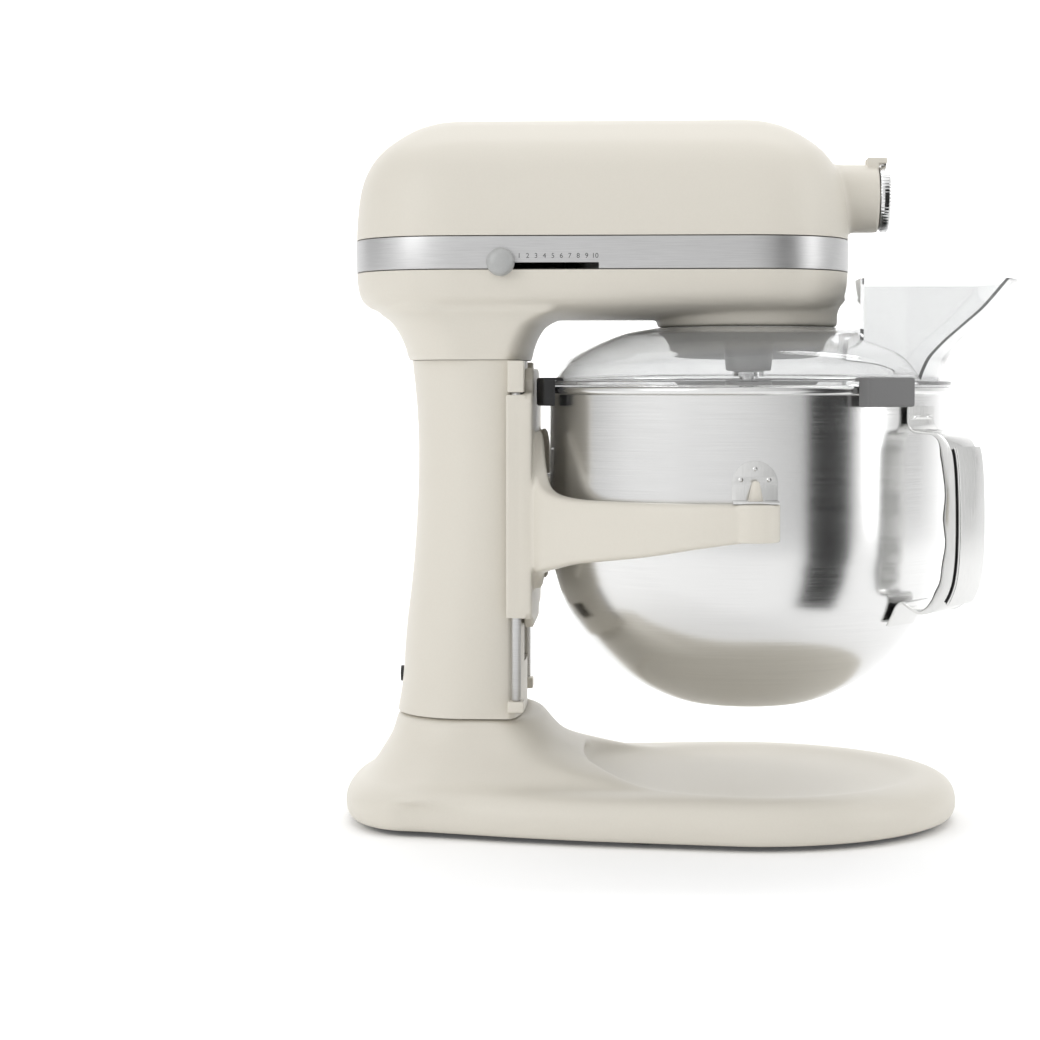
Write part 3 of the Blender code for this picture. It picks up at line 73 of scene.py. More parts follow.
def material(name, colour, rough, metal, grain, bump, vary, rough_vary, clear=False, aniso=0.0):
    """A Principled material. One noise field, scaled by grain along X, Y and Z, drives its fine
    relief (bump), its shade (vary) and its gloss (rough_vary)."""
    m = bpy.data.materials.new(name)
    m.use_nodes = True
    t = m.node_tree
    s = t.nodes["Principled BSDF"]
    s.inputs["Base Color"].default_value = (*colour, 1.0)
    s.inputs["Roughness"].default_value = rough
    s.inputs["Metallic"].default_value = metal
    s.inputs["Anisotropic"].default_value = aniso
    if clear:
        s.inputs["Transmission Weight"].default_value = 0.90
        s.inputs["IOR"].default_value = 1.42
    where = t.nodes.new("ShaderNodeTexCoord")
    stretch = t.nodes.new("ShaderNodeMapping")
    stretch.inputs["Scale"].default_value = grain
    noise = t.nodes.new("ShaderNodeTexNoise")
    noise.inputs["Scale"].default_value = 1.0
    noise.inputs["Detail"].default_value = 4.0
    noise.inputs["Roughness"].default_value = 0.6
    t.links.new(where.outputs["Object"], stretch.inputs["Vector"])
    t.links.new(stretch.outputs["Vector"], noise.inputs["Vector"])
    if bump:
        b = t.nodes.new("ShaderNodeBump")
        b.inputs["Strength"].default_value = bump
        b.inputs["Distance"].default_value = 0.0004
        t.links.new(noise.outputs["Fac"], b.inputs["Height"])
        t.links.new(b.outputs["Normal"], s.inputs["Normal"])
    if vary:
        ramp = t.nodes.new("ShaderNodeValToRGB")
        dark, light = ramp.color_ramp.elements
        dark.position, light.position = NOISE_LOW, NOISE_HIGH
        dark.color = (*[c * (1.0 - vary) for c in colour], 1.0)
        light.color = (*[min(1.0, c * (1.0 + vary)) for c in colour], 1.0)
        t.links.new(noise.outputs["Fac"], ramp.inputs["Fac"])
        t.links.new(ramp.outputs["Color"], s.inputs["Base Color"])
    if rough_vary:
        spread = t.nodes.new("ShaderNodeMapRange")
        spread.inputs["From Min"].default_value = NOISE_LOW
        spread.inputs["From Max"].default_value = NOISE_HIGH
        spread.inputs["To Min"].default_value = rough - rough_vary
        spread.inputs["To Max"].default_value = rough + rough_vary
        t.links.new(noise.outputs["Fac"], spread.inputs["Value"])
        t.links.new(spread.outputs["Result"], s.inputs["Roughness"])
    return m


PAINT = material("cream_enamel", (0.645, 0.613, 0.543), 0.44, 0.0, (900, 900, 900), 0.05, 0.012, 0.04)
TRIM = material("brushed_trim", (0.57, 0.57, 0.57), 0.40, 1.0, (60, 60, 5000), 0.10, 0.10, 0.06)
STEEL = material("bowl_steel", (0.74, 0.74, 0.735), 0.20, 1.0, (18, 18, 3200), 0.045, 0.05, 0.05,
                 aniso=0.4)
STRAP = material("strap_steel", (0.70, 0.70, 0.69), 0.16, 1.0, (900, 900, 60), 0.03, 0.04, 0.04)
CHROME = material("chrome_plate", (0.80, 0.80, 0.80), 0.10, 1.0, (200, 200, 200), 0.01, 0.03, 0.03)
GREY = material("grey_casting", (0.480, 0.478, 0.470), 0.42, 0.20,
                (1500, 1500, 1500), 0.10, 0.06, 0.06)
KNOB = material("grey_knob", (0.400, 0.405, 0.400), 0.40, 0.15,
                (1200, 1200, 1200), 0.06, 0.04, 0.04)
GEAR = material("gear_metal", (0.38, 0.38, 0.39), 0.35, 1.0, (400, 400, 400), 0.06, 0.10, 0.08)
BRONZE = material("bronze_metal", (0.48, 0.32, 0.15), 0.38, 1.0, (400, 400, 400), 0.06, 0.10, 0.08)
COPPER = material("copper_wire", (0.60, 0.27, 0.13), 0.42, 0.8, (2500, 60, 60), 0.20, 0.15, 0.08)
CLEAR = material("clear_lid", (0.840, 0.845, 0.845), 0.03, 0.0,
                 (40, 40, 40), 0.004, 0.0, 0.01, clear=True)
RUBBER = material("dark_rubber", (0.026, 0.026, 0.027), 0.62, 0.0,
                  (1800, 1800, 1800), 0.12, 0.10, 0.05)
CLIP = material("grey_rubber", (0.150, 0.150, 0.150), 0.58, 0.0,
                (1800, 1800, 1800), 0.12, 0.06, 0.05)
BLACK = material("black_plastic", (0.016, 0.016, 0.017), 0.42, 0.0,
                 (1500, 1500, 1500), 0.08, 0.10, 0.05)
BOARD = material("board_green", (0.03, 0.15, 0.06), 0.50, 0.0, (600, 600, 600), 0.10, 0.20, 0.05)
INK = material("digit_ink", (0.045, 0.045, 0.047), 0.55, 0.0, (900, 900, 900), 0.02, 0.05, 0.03)
FLAG = material("flag_cloth", (0.010, 0.010, 0.010), 0.90, 0.0, (300, 300, 300), 0.05, 0.10, 0.02)

# The CAD nodes that no piece replaces keep their CAD shape and take these paints.
SLOT_PAINT = {
    "cream_paint": PAINT, "brushed_trim": TRIM, "brushed_steel": STEEL, "chrome": CHROME,
    "grey_casting": GREY, "gear_steel": GEAR, "bronze": BRONZE, "copper": COPPER,
    "clear_plastic": CLEAR, "black_rubber": RUBBER, "grey_rubber": CLIP, "black_plastic": BLACK,
    "board": BOARD,
}
SLOT_OF = {part["node"]: part["material_slot"] for part in frame["record"]["subparts"]}
BODY_OF = {
    node: body for body, nodes in frame["record"]["behaviour"]["bodies"].items() for node in nodes
}
for node, ob in frame["nodes"].items():
    for i in range(len(ob.material_slots)):
        ob.material_slots[i].material = SLOT_PAINT[SLOT_OF[node]]


# ---- shape helpers --------------------------------------------------------
def add(name, bm, paint, angle=40.0):
    """Makes an object from a bmesh; edges sharper than the angle, in degrees, stay crisp."""
    bmesh.ops.recalc_face_normals(bm, faces=bm.faces)
    mesh = bpy.data.meshes.new(name)
    bm.to_mesh(mesh)
    bm.free()
    ob = bpy.data.objects.new(name, mesh)
    bpy.context.scene.collection.objects.link(ob)
    if paint:
        mesh.materials.append(paint)
    soften(ob, angle)
    return ob


def soften(ob, angle=40.0):
    for face in ob.data.polygons:
        face.use_smooth = True
    ob.data.set_sharp_from_angle(angle=radians(angle))


def bake(ob, angle=None):
    """Applies the object's modifiers to its mesh."""
    graph = bpy.context.evaluated_depsgraph_get()
    graph.update()
    mesh = bpy.data.meshes.new_from_object(ob.evaluated_get(graph))
    ob.modifiers.clear()
    ob.data = mesh
    if angle is not None:
        soften(ob, angle)
    return ob


def boolean(ob, kind, tools, angle=40.0):
    for tool in tools:
        step = ob.modifiers.new("b", "BOOLEAN")
        step.operation = kind
        step.solver = "EXACT"
        step.object = tool
    bake(ob, angle)
    for tool in tools:
        bpy.data.objects.remove(tool, do_unlink=True)
    return ob


def cut(ob, *tools, angle=40.0):
    return boolean(ob, "DIFFERENCE", tools, angle)


def join(ob, *tools, angle=40.0):
    return boolean(ob, "UNION", tools, angle)


def melt(ob, size, rounds):
    """Rounds and blends all edges: a voxel skin, then smoothing."""
    skin = ob.modifiers.new("skin", "REMESH")
    skin.mode = "VOXEL"
    skin.voxel_size = size
    relax = ob.modifiers.new("relax", "SMOOTH")
    relax.factor = 0.5
    relax.iterations = rounds
    return bake(ob, 60.0)


def bevel(ob, width, segments=3):
    edge = ob.modifiers.new("edge", "BEVEL")
    edge.width = width
    edge.segments = segments
    edge.limit_method = "ANGLE"
    edge.angle_limit = radians(35.0)
    return bake(ob, 50.0)


def loft(name, rings, paint=None, closed=False):
    """A skin through rings of points, capped at both ends or closed back to the first ring."""
    bm = bmesh.new()
    rows = [[bm.verts.new(p) for p in ring] for ring in rings]
    pairs = list(zip(rows, rows[1:])) + ([(rows[-1], rows[0])] if closed else [])
    for a, b in pairs:
        for i in range(len(a)):
            j = (i + 1) % len(a)
            bm.faces.new((a[i], a[j], b[j], b[i]))
    if not closed:
        bm.faces.new(rows[0])
        bm.faces.new(rows[-1])
    return add(name, bm, paint)


def block(name, low, high, paint=None):
    bm = bmesh.new()
    bmesh.ops.create_cube(bm, size=1.0)
    bmesh.ops.scale(bm, vec=[b - a for a, b in zip(low, high)], verts=bm.verts)
    bmesh.ops.translate(bm, vec=[(a + b) / 2.0 for a, b in zip(low, high)], verts=bm.verts)
    return add(name, bm, paint)


def rod(name, start, end, radius, paint=None, end_radius=None, steps=48):
    start, end = Vector(start), Vector(end)
    bm = bmesh.new()
    bmesh.ops.create_cone(bm, cap_ends=True, segments=steps, radius1=radius,
                          radius2=radius if end_radius is None else end_radius, depth=(end - start).length)
    turn = (end - start).to_track_quat("Z", "Y").to_matrix().to_4x4()
    bmesh.ops.transform(bm, matrix=Matrix.Translation((start + end) / 2.0) @ turn, verts=bm.verts)
    return add(name, bm, paint)


def revolve(name, profile, at, paint=None, steps=96, closed=False, turn=None):
    """(radius, height) pairs turned about the local Z axis, then placed."""
    place = Matrix.Translation(at)
    if turn:
        place = place @ turn
    bm = bmesh.new()
    angles = [2 * pi * i / steps for i in range(steps)]
    rows = []
    for r, z in profile:
        spots = [(r * cos(a), r * sin(a), z) for a in angles] if r >= 1e-6 else [(0.0, 0.0, z)]
        rows.append([bm.verts.new(place @ Vector(spot)) for spot in spots])
    pairs = list(zip(rows, rows[1:])) + ([(rows[-1], rows[0])] if closed else [])
    for a, b in pairs:
        for i in range(steps):
            j = (i + 1) % steps
            ring = [a[i % len(a)], a[j % len(a)], b[j % len(b)], b[i % len(b)]]
            face = [v for k, v in enumerate(ring) if v not in ring[:k]]
            if len(face) > 2:
                bm.faces.new(face)
    return add(name, bm, paint)


def smooth_line(points, per):
    """Catmull-Rom curve through a list of points, with a number of steps per span."""
    out = []
    n = len(points)
    for i in range(n - 1):
        p0, p1, p2, p3 = points[max(i - 1, 0)], points[i], points[i + 1], points[min(i + 2, n - 1)]
        for k in range(per):
            t = k / per
            out.append(tuple(
                0.5 * (2 * b + (c - a) * t + (2 * a - 5 * b + 4 * c - d) * t * t
                       + (3 * b - a - 3 * c + d) * t ** 3)
                for a, b, c, d in zip(p0, p1, p2, p3)
            ))
    out.append(tuple(points[-1]))
    return out


def prism(name, outlines, low, high, paint, place):
    """A flat plate between two heights; inner outlines are holes, and place turns it."""
    curve = bpy.data.curves.new(name, "CURVE")
    curve.dimensions = "2D"
    curve.fill_mode = "BOTH"
    curve.extrude = (high - low) / 2.0
    for outline in outlines:
        spline = curve.splines.new("POLY")
        spline.points.add(len(outline) - 1)
        for point, (x, y) in zip(spline.points, outline):
            point.co = (x, y, 0.0, 1.0)
        spline.use_cyclic_u = True
    return curve_mesh(name, curve, paint, (low + high) / 2.0, place)


def wire(name, points, radius, paint):
    """A round bar along points."""
    curve = bpy.data.curves.new(name, "CURVE")
    curve.dimensions = "3D"
    curve.bevel_depth = radius
    curve.bevel_resolution = 6
    curve.use_fill_caps = True
    spline = curve.splines.new("POLY")
    spline.points.add(len(points) - 1)
    for point, co in zip(spline.points, points):
        point.co = (*co, 1.0)
    return curve_mesh(name, curve, paint, 0.0, Matrix())


def curve_mesh(name, curve, paint, lift, place):
    """Turns a curve or a text into a mesh, lifts it along its own Z and places it."""
    holder = bpy.data.objects.new(name + "_c", curve)
    bpy.context.scene.collection.objects.link(holder)
    graph = bpy.context.evaluated_depsgraph_get()
    mesh = bpy.data.meshes.new_from_object(holder.evaluated_get(graph))
    bpy.data.objects.remove(holder, do_unlink=True)
    bm = bmesh.new()
    bm.from_mesh(mesh)
    bmesh.ops.remove_doubles(bm, verts=bm.verts, dist=0.00001)
    bmesh.ops.translate(bm, vec=(0.0, 0.0, lift), verts=bm.verts)
    bmesh.ops.transform(bm, matrix=place, verts=bm.verts)
    return add(name, bm, paint)


def show(ob, node, *more):
    """The piece stands for one CAD node, or several, and rides on their body."""
    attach(ob, BODY_OF[node])
    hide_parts(node, *more)


def plan(low_x, high_x, half, low_end, high_end, z, count=16, power=2.35):
    """A level ring from low_x to high_x with straight sides and superellipse ends; low_end and
    high_end are the ends' lengths, count the points per quarter."""
    ring = []
    for side in (-1.0, 1.0):
        ends = ((low_x + low_end, -low_end), (high_x - high_end, high_end))
        if side > 0.0:
            ends = ends[::-1]
        for centre, reach in ends:
            for i in range(count):
                a = (i + 0.5) / count * pi / 2.0
                c, s = (cos(a), sin(a)) if (reach < 0.0) == (side < 0.0) else (sin(a), cos(a))
                x, y = reach * c ** (2.0 / power), side * half * s ** (2.0 / power)
                ring.append((centre + x, y, z))
    return ring


def head_ring(inset, z, count=20):
    """The head's outline at a height, pulled in by an inset."""
    rear, front, half, rear_end, front_end = HEAD
    return plan(rear + inset, front - inset, half - inset, rear_end - inset, front_end - inset, z,
                count)


# ---- pieces ---------------------------------------------------------------
BASE_REAR, PAD_R, CREST = -0.2013, 0.1270, 0.0280
END_X, END_Y, END_POWER = -0.155, 0.090, 0.85  # where the base's rear end begins, and its roundness


def base_outline(inset, z):
    """Round pad in front, narrowing waist and round rear end, pulled in by an inset."""
    waist = smooth_line([(-0.0250, 0.1195), (-0.0530, 0.1155), (-0.0900, 0.1080), (-0.1250, 0.0985),
                         (END_X, END_Y)], 3)
    bend, sweep = 12, 28
    near = []
    for i in range(bend):
        a = (i + 0.5) / bend * pi / 2.0
        near.append((END_X - (END_X - BASE_REAR) * cos(a) ** END_POWER, END_Y * sin(a) ** END_POWER))
    near += waist[::-1]
    for i in range(sweep):
        a = radians(85.0) + (i + 0.5) / sweep * radians(95.0)
        near.append((AXIS_X - PAD_R * cos(a), PAD_R * sin(a)))
    middle = (BASE_REAR + AXIS_X + PAD_R) / 2.0
    ring = []
    for x, y in [(x, -y) for x, y in near] + near[::-1]:
        share = 1.0 - inset / sqrt((x - middle) ** 2 + y ** 2)
        ring.append((middle + (x - middle) * share, y * share, z))
    return ring


def build_base():
    edge = smooth_line([(0.0034, 0.0027), (0.0010, 0.0056), (0.0, 0.0110), (0.0006, 0.0168),
                        (0.0030, 0.0216), (0.0075, 0.0254), (0.0140, 0.0274), (0.0220, CREST)], 4)
    base = loft("base_skin", [base_outline(inset, z) for inset, z in edge], PAINT)
    flare = smooth_line([
        (-0.1940, 0.0420, 0.0980, 0.0205), (-0.1905, 0.0200, 0.0930, 0.0262),
        (-0.1870, -0.0080, 0.0840, 0.0300), (-0.1825, -0.0345, 0.0770, 0.0358),
        (-0.1785, -0.0579, 0.0690, 0.0426), (-0.1745, -0.0695, 0.0635, 0.0488),
        (-0.1718, -0.0764, 0.0595, 0.0563), (-0.1703, -0.0830, 0.0575, 0.0646)], 4)
    join(base, loft("riser", [plan(rear, front, half, 0.048, 0.030, z) for rear, front, half, z in flare]))
    slope = smooth_line([(0.0, 0.0226), (0.0500, 0.0228), (0.0740, 0.0234), (0.0860, 0.0246),
                         (0.0940, 0.0264), (0.1000, 0.0281)], 4)
    cut(base, revolve("dish", slope + [(0.1060, 0.0400), (0.0, 0.0400)], (AXIS_X + 0.004, 0.0, 0.0),
                      steps=120))
    melt(base, 0.0018, 36)
    top = block("base_top_cut", (-0.30, -0.20, 0.0645), (0.30, 0.20, 0.10))
    hollow = loft("hollow", [base_outline(0.0080, -0.010), base_outline(0.0130, 0.0185)])
    cut(base, top, hollow)
    show(base, "base")


COLUMN = [  # rear, half width, height
    (-0.1703, 0.0572, 0.0649), (-0.1673, 0.0554, 0.0840), (-0.1650, 0.0552, 0.1150),
    (-0.1605, 0.0552, 0.1550), (-0.1577, 0.0550, 0.2030), (-0.1581, 0.0552, 0.2430),
    (-0.1611, 0.0566, 0.2756),
]
LUGS = ((ROD_LOW - 0.0068, ROD_LOW - 0.0003), (0.2568, ROD_TOP + 0.0065))
INLET_Z = 0.085


def column_rings(inset, extra, per):
    """The column's outlines, pulled in by an inset and longer by an extra at both ends."""
    rows = smooth_line(COLUMN, per)
    rows[0] = (*rows[0][:2], rows[0][2] - extra)
    rows[-1] = (*rows[-1][:2], rows[-1][2] + extra)
    return [plan(rear + inset, COLUMN_FRONT - inset, half - inset, 0.046 - inset, 0.009 - inset, z,
                 power=2.2)
            for rear, half, z in rows]


def build_column():
    column = loft("column_skin", column_rings(0.0, 0.0, 6), PAINT)
    extras = [rod("lever_boss", (LEVER_X, 0.045, LEVER_Z), (LEVER_X, 0.0585, LEVER_Z), 0.0115)]
    for side in (-1, 1):
        for low, high in LUGS:
            y_low, y_high = sorted((side * 0.0500, side * (ROD_Y + 0.0042)))
            lug = block("lug", (ROD_X - 0.005, y_low, low), (ROD_X + 0.0045, y_high, high))
            extras.append(bevel(lug, 0.0008))
    join(column, *extras)
    hollow = loft("column_room", column_rings(0.0045, 0.002, 2))
    mouth = block("mouth", (COLUMN_FRONT - 0.008, -0.018, 0.095), (COLUMN_FRONT + 0.004, 0.018, 0.262))
    bore = rod("lever_bore", (LEVER_X, 0.030, LEVER_Z), (LEVER_X, 0.070, LEVER_Z), 0.0054)
    inlet = rod("inlet_bore", (-0.180, 0.0, INLET_Z), (-0.155, 0.0, INLET_Z), 0.0052)
    rods = [
        rod("rod_bore", (ROD_X, side * ROD_Y, 0.240), (ROD_X, side * ROD_Y, ROD_TOP + 0.0004), 0.0031)
        for side in (-1, 1)
    ]
    cut(column, hollow, mouth, bore, inlet, *rods)
    show(column, "column")


def neck_rings(rows, rear_end, front_end, count):
    return [plan(rear, front, half, rear_end, front_end, z, count, 2.2) for rear, front, half, z in rows]


def build_head():
    steps = smooth_line([(0.060, 0.3002), (0.040, 0.3010), (0.022, 0.3032), (0.0100, 0.3062),
                         (0.0046, 0.3096), (0.0018, 0.3143), (0.0004, 0.3218), (0.0, 0.3277),
                         (0.0, 0.3360)], 4)
    housing = loft("head_low", [head_ring(inset, z) for inset, z in steps], PAINT)
    neck = loft("neck", neck_rings(smooth_line([
        (-0.1615, -0.0905, 0.0575, 0.2700), (-0.1618, -0.0903, 0.0576, 0.2740),
        (-0.1637, -0.0889, 0.0583, 0.2781), (-0.1650, -0.0878, 0.0587, 0.2829),
        (-0.1676, -0.0853, 0.0594, 0.2893), (-0.1718, -0.0806, 0.0606, 0.2963),
        (-0.1765, -0.0720, 0.0625, 0.3010), (-0.1810, -0.0640, 0.0645, 0.3045),
        (-0.1830, -0.0600, 0.0650, 0.3120)], 4), 0.040, 0.014, 16))
    skirt = smooth_line([(0.0590, 0.3120), (0.0555, 0.3075), (0.0541, 0.3030), (DRUM_R, 0.2990)], 4)
    drum = revolve("drum", skirt + [(DRUM_R, DRUM_LOW + 0.0009), (0.0531, DRUM_LOW), (0.0, DRUM_LOW),
                                    (0.0, 0.3120)], (AXIS_X, 0.0, 0.0), steps=128)
    join(housing, neck, drum)
    melt(housing, 0.0013, 5)
    cavity = loft("cavity", [head_ring(inset, z, 10) for inset, z in (
        (0.045, 0.3040), (0.022, 0.3070), (0.0095, 0.3112), (0.0056, 0.3170), (0.0050, 0.3500))])
    throat = loft("throat", neck_rings((
        (-0.1580, -0.0940, 0.0540, 0.2660), (-0.1610, -0.0920, 0.0550, 0.2890),
        (-0.1670, -0.0860, 0.0570, 0.3060)), 0.037, 0.011, 8))
    bottom = block("neck_cut", (-0.30, -0.10, 0.250), (0.0, 0.10, NECK_LOW))
    top = block("head_cut", (-0.30, -0.10, BAND_LOW - 0.0003), (0.20, 0.10, 0.360))
    cut(housing, cavity, throat, bottom, top)
    join(housing, rod("roof", (AXIS_X, 0.0, ROOF_LOW), (AXIS_X, 0.0, ROOF_TOP), 0.0530))
    bore = rod("drum_bore", (AXIS_X, 0.0, 0.280), (AXIS_X, 0.0, ROOF_LOW), DRUM_BORE, steps=128)
    hole = rod("drum_hole", (AXIS_X, 0.0, 0.300), (AXIS_X, 0.0, 0.320), 0.0142)
    cut(housing, bore, hole)
    show(housing, "lower_housing")


DIGIT_SIZE, DIGIT_RELIEF, DIGIT_Z = 0.0040, 0.00008, 0.3340
DIGIT_FIRST_X, DIGIT_STEP = -0.0930, 0.00485


def build_band():
    rings = [head_ring(inset, z, 36) for inset, z in (
        (0.0009, BAND_LOW), (0.0, BAND_LOW + 0.0004), (-0.0002, 0.3300), (-0.0002, 0.3446),
        (0.0, BAND_TOP - 0.0004), (0.0009, BAND_TOP), (0.0016, BAND_TOP), (0.0016, BAND_LOW))]
    band = loft("band_skin", rings, TRIM, closed=True)
    slot = block("slot_tool", (SLOT_REAR, -0.080, SLOT_LOW), (SLOT_FRONT, -0.060, SLOT_TOP))
    cut(band, bevel(slot, 0.0005), angle=30.0)
    show(band, "trim_band")
    for number in range(1, 11):
        text = bpy.data.curves.new("digit_%d" % number, "FONT")
        text.body = str(number)
        text.size = DIGIT_SIZE
        text.extrude = DIGIT_RELIEF
        text.align_x = "CENTER"
        at = (DIGIT_FIRST_X + (number - 1) * DIGIT_STEP, HEAD_SIDE - 0.00012, DIGIT_Z)
        place = Matrix.Translation(at) @ Matrix.Rotation(pi / 2.0, 4, "X")
        digit = curve_mesh("dial_digit_%d" % number, text, INK, 0.0, place)
        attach(digit, "stand")


def build_cover():
    steps = smooth_line([(0.0, 0.3440), (0.0, 0.3500), (0.0006, 0.3610), (0.0022, 0.3740),
                         (0.0053, 0.3850), (0.0107, 0.3946), (0.0190, 0.4032), (0.0330, 0.4122),
                         (0.0450, 0.4166), (0.0540, 0.4179), (0.0640, 0.4183)], 5)
    cover = loft("cover_skin", [head_ring(inset, z, 24) for inset, z in steps], PAINT)
    nose = smooth_line([(0.0275, 0.0), (0.0235, 0.010), (0.0212, 0.0190), (0.0203, 0.0280)], 5)
    boss = revolve("boss", nose + [(0.0202, 0.0485), (0.0, 0.0485), (0.0, 0.0)], (0.0700, 0.0, HUB_Z),
                   turn=Matrix.Rotation(pi / 2.0, 4, "Y"))
    join(cover, boss)
    melt(cover, 0.0014, 5)
    hollow = loft("cover_room", [head_ring(inset, z, 10) for inset, z in (
        (0.0050, 0.3400), (0.0072, 0.3720), (0.0110, 0.3880), (0.0240, 0.4020), (0.0400, 0.4110),
        (0.0520, 0.4145))])
    bottom = block("cover_cut", (-0.30, -0.10, 0.330), (0.20, 0.10, BAND_TOP + 0.0003))
    bore = rod("hub_bore", (0.060, 0.0, HUB_Z), (0.130, 0.0, HUB_Z), HUB_BORE, steps=64)
    screw = rod("screw_bore", (HUB_SCREW_X, 0.005, HUB_Z), (HUB_SCREW_X, 0.040, HUB_Z), 0.0034)
    cut(cover, hollow, bottom, bore, screw)
    ears = []
    ear_y, ear_half, top = 0.0065, 0.0022, HUB_Z + 0.0240
    for side in (-1, 1):
        low, high = side * ear_y - ear_half, side * ear_y + ear_half
        heel = block("heel", (0.1115, low, HUB_Z + 0.0140), (0.1184, high, top))
        ear = block("ear", (0.1155, low + 0.0001, top - 0.0034), (0.1232, high - 0.0001, top - 0.0001))
        ears += [bevel(heel, 0.0006), bevel(ear, 0.0006)]
    join(cover, *ears)
    show(cover, "upper_cover")


STUD_Z = 0.2060


def build_bowl():
    side = [(BOWL_R, 0.2552), (BOWL_R, 0.2100), (BOWL_R, 0.1700), (0.1166, 0.1550), (0.1130, 0.1400),
            (0.1072, 0.1255), (0.0980, 0.1115), (0.0850, 0.0975), (0.0660, 0.0828), (0.0430, 0.0722),
            (0.0220, 0.0689), (0.0, 0.0685)]
    outer = smooth_line(side, 6)
    inner = [(max(r - BOWL_WALL, 0.0), z + (0.0 if z > 0.17 else 0.0010)) for r, z in outer][::-1]
    turns = [radians(110.0 - 28.0 * i) for i in range(9)]
    bead = [(0.1196 + 0.0022 * cos(a), 0.2578 + 0.0025 * sin(a)) for a in turns]
    rim = [(BOWL_R - BOWL_WALL, 0.2592), (BOWL_R, 0.2602)]
    bowl = revolve("bowl_skin", inner[:-1] + rim + bead + outer, (AXIS_X, 0.0, 0.0), STEEL, steps=192)
    back = AXIS_X - BOWL_R
    stud = rod("stud", (back - 0.0050, 0.0, STUD_Z), (back - 0.0024, 0.0, STUD_Z), 0.0036)
    neck = rod("stud_neck", (back - 0.0030, 0.0, STUD_Z), (back + 0.0006, 0.0, STUD_Z), 0.0016)
    join(bowl, bevel(stud, 0.0006), neck)
    show(bowl, "bowl")


def dimple(x, y, z, out, radius=0.0013):
    """A low round weld mark on a plate, facing out."""
    turn = Vector(out).to_track_quat("Z", "Y").to_matrix().to_4x4()
    profile = [(0.0, 0.0004), (radius * 0.5, 0.00034), (radius, 0.0), (radius, -0.0006), (0.0, -0.0006)]
    return revolve("dimple", profile, (x, y, z), steps=20, turn=turn)


BRACKET_HALF, BRACKET_LOW, BRACKET_INNER, BRACKET_FACE = 0.0127, 0.1959, 0.1120, 0.1200
UPRIGHT = Matrix.Rotation(pi / 2.0, 4, "X")  # stands a flat outline up, facing -Y


def build_brackets():
    turns = [pi * i / 36.0 for i in range(37)]
    rim = [(BRACKET_HALF * cos(a), 0.2063 + BRACKET_HALF * sin(a)) for a in turns]
    outline = [(-BRACKET_HALF, BRACKET_LOW), (BRACKET_HALF, BRACKET_LOW)] + rim
    for name, side in (("bowl_bracket_left", -1), ("bowl_bracket_right", 1)):
        low, high = sorted((-side * BRACKET_INNER, -side * BRACKET_FACE))
        place = Matrix.Translation((AXIS_X, 0.0, 0.0)) @ UPRIGHT
        plate = prism(name + "_skin", [outline], low, high, STRAP, place)
        low, high = sorted((side * BRACKET_INNER, side * 0.1385))
        join(plate, block("flange", (AXIS_X - BRACKET_HALF, low, BRACKET_LOW - 0.0001),
                          (AXIS_X + BRACKET_HALF, high, BRACKET_LOW + 0.0014)))
        wall = rod("wall", (AXIS_X, 0.0, 0.180), (AXIS_X, 0.0, 0.230), BOWL_R + 0.0003, steps=192)
        hole = rod("hole", (AXIS_X, side * PIN_Y, 0.190), (AXIS_X, side * PIN_Y, 0.205), 0.0052)
        cut(plate, wall, hole)
        bevel(plate, 0.0003, 2)
        join(plate, *[dimple(AXIS_X + x, side * BRACKET_FACE, z, (0.0, side, 0.0))
                      for x, z in ((-0.0078, 0.2085), (0.0, 0.2146), (0.0078, 0.2085))])
        show(plate, name)


HANDLE_TURN, HANDLE_HALF, STRAP_THIN = radians(-37.0), 0.0140, 0.0008
STRAP_SPAN, GRIP_FIRST, GRIP_LAST = 6, 6, 13  # steps per span; the spans' ends that bound the grip


def handle_frame():
    """The directions across the handle and straight out of the bowl."""
    across = Vector((-sin(HANDLE_TURN), cos(HANDLE_TURN), 0.0))
    return across, Vector((cos(HANDLE_TURN), sin(HANDLE_TURN), 0.0))


def handle_rings(path, half, outer, corner=0.0003):
    """Rounded sections along (r, z, depth) points in the handle's own upright plane. Depth is
    the reach toward the bowl and outer the reach away from it."""
    across, out = handle_frame()
    rings = []
    for i, (r, z, depth) in enumerate(path):
        before, after = path[max(i - 1, 0)], path[min(i + 1, len(path) - 1)]
        run = Vector((after[0] - before[0], after[1] - before[1])).normalized()
        normal = Vector((-run.y, run.x))
        soft = max(corner, 0.42 * (depth + outer) - 0.0004)
        side = []
        for k in range(7):
            a = pi / 2.0 * k / 6.0
            side.append((-depth + soft - soft * cos(a), half - soft + soft * sin(a)))
        for k in range(4):
            a = pi / 2.0 * k / 3.0
            side.append((outer - corner + corner * sin(a), half - corner + corner * cos(a)))
        points = []
        for offset, reach in side + [(o, -w) for o, w in side[::-1]]:
            p = Vector((r, z)) + normal * offset
            points.append(Vector((AXIS_X, 0.0, p.y)) + out * p.x + across * reach)
        rings.append(points)
    return rings


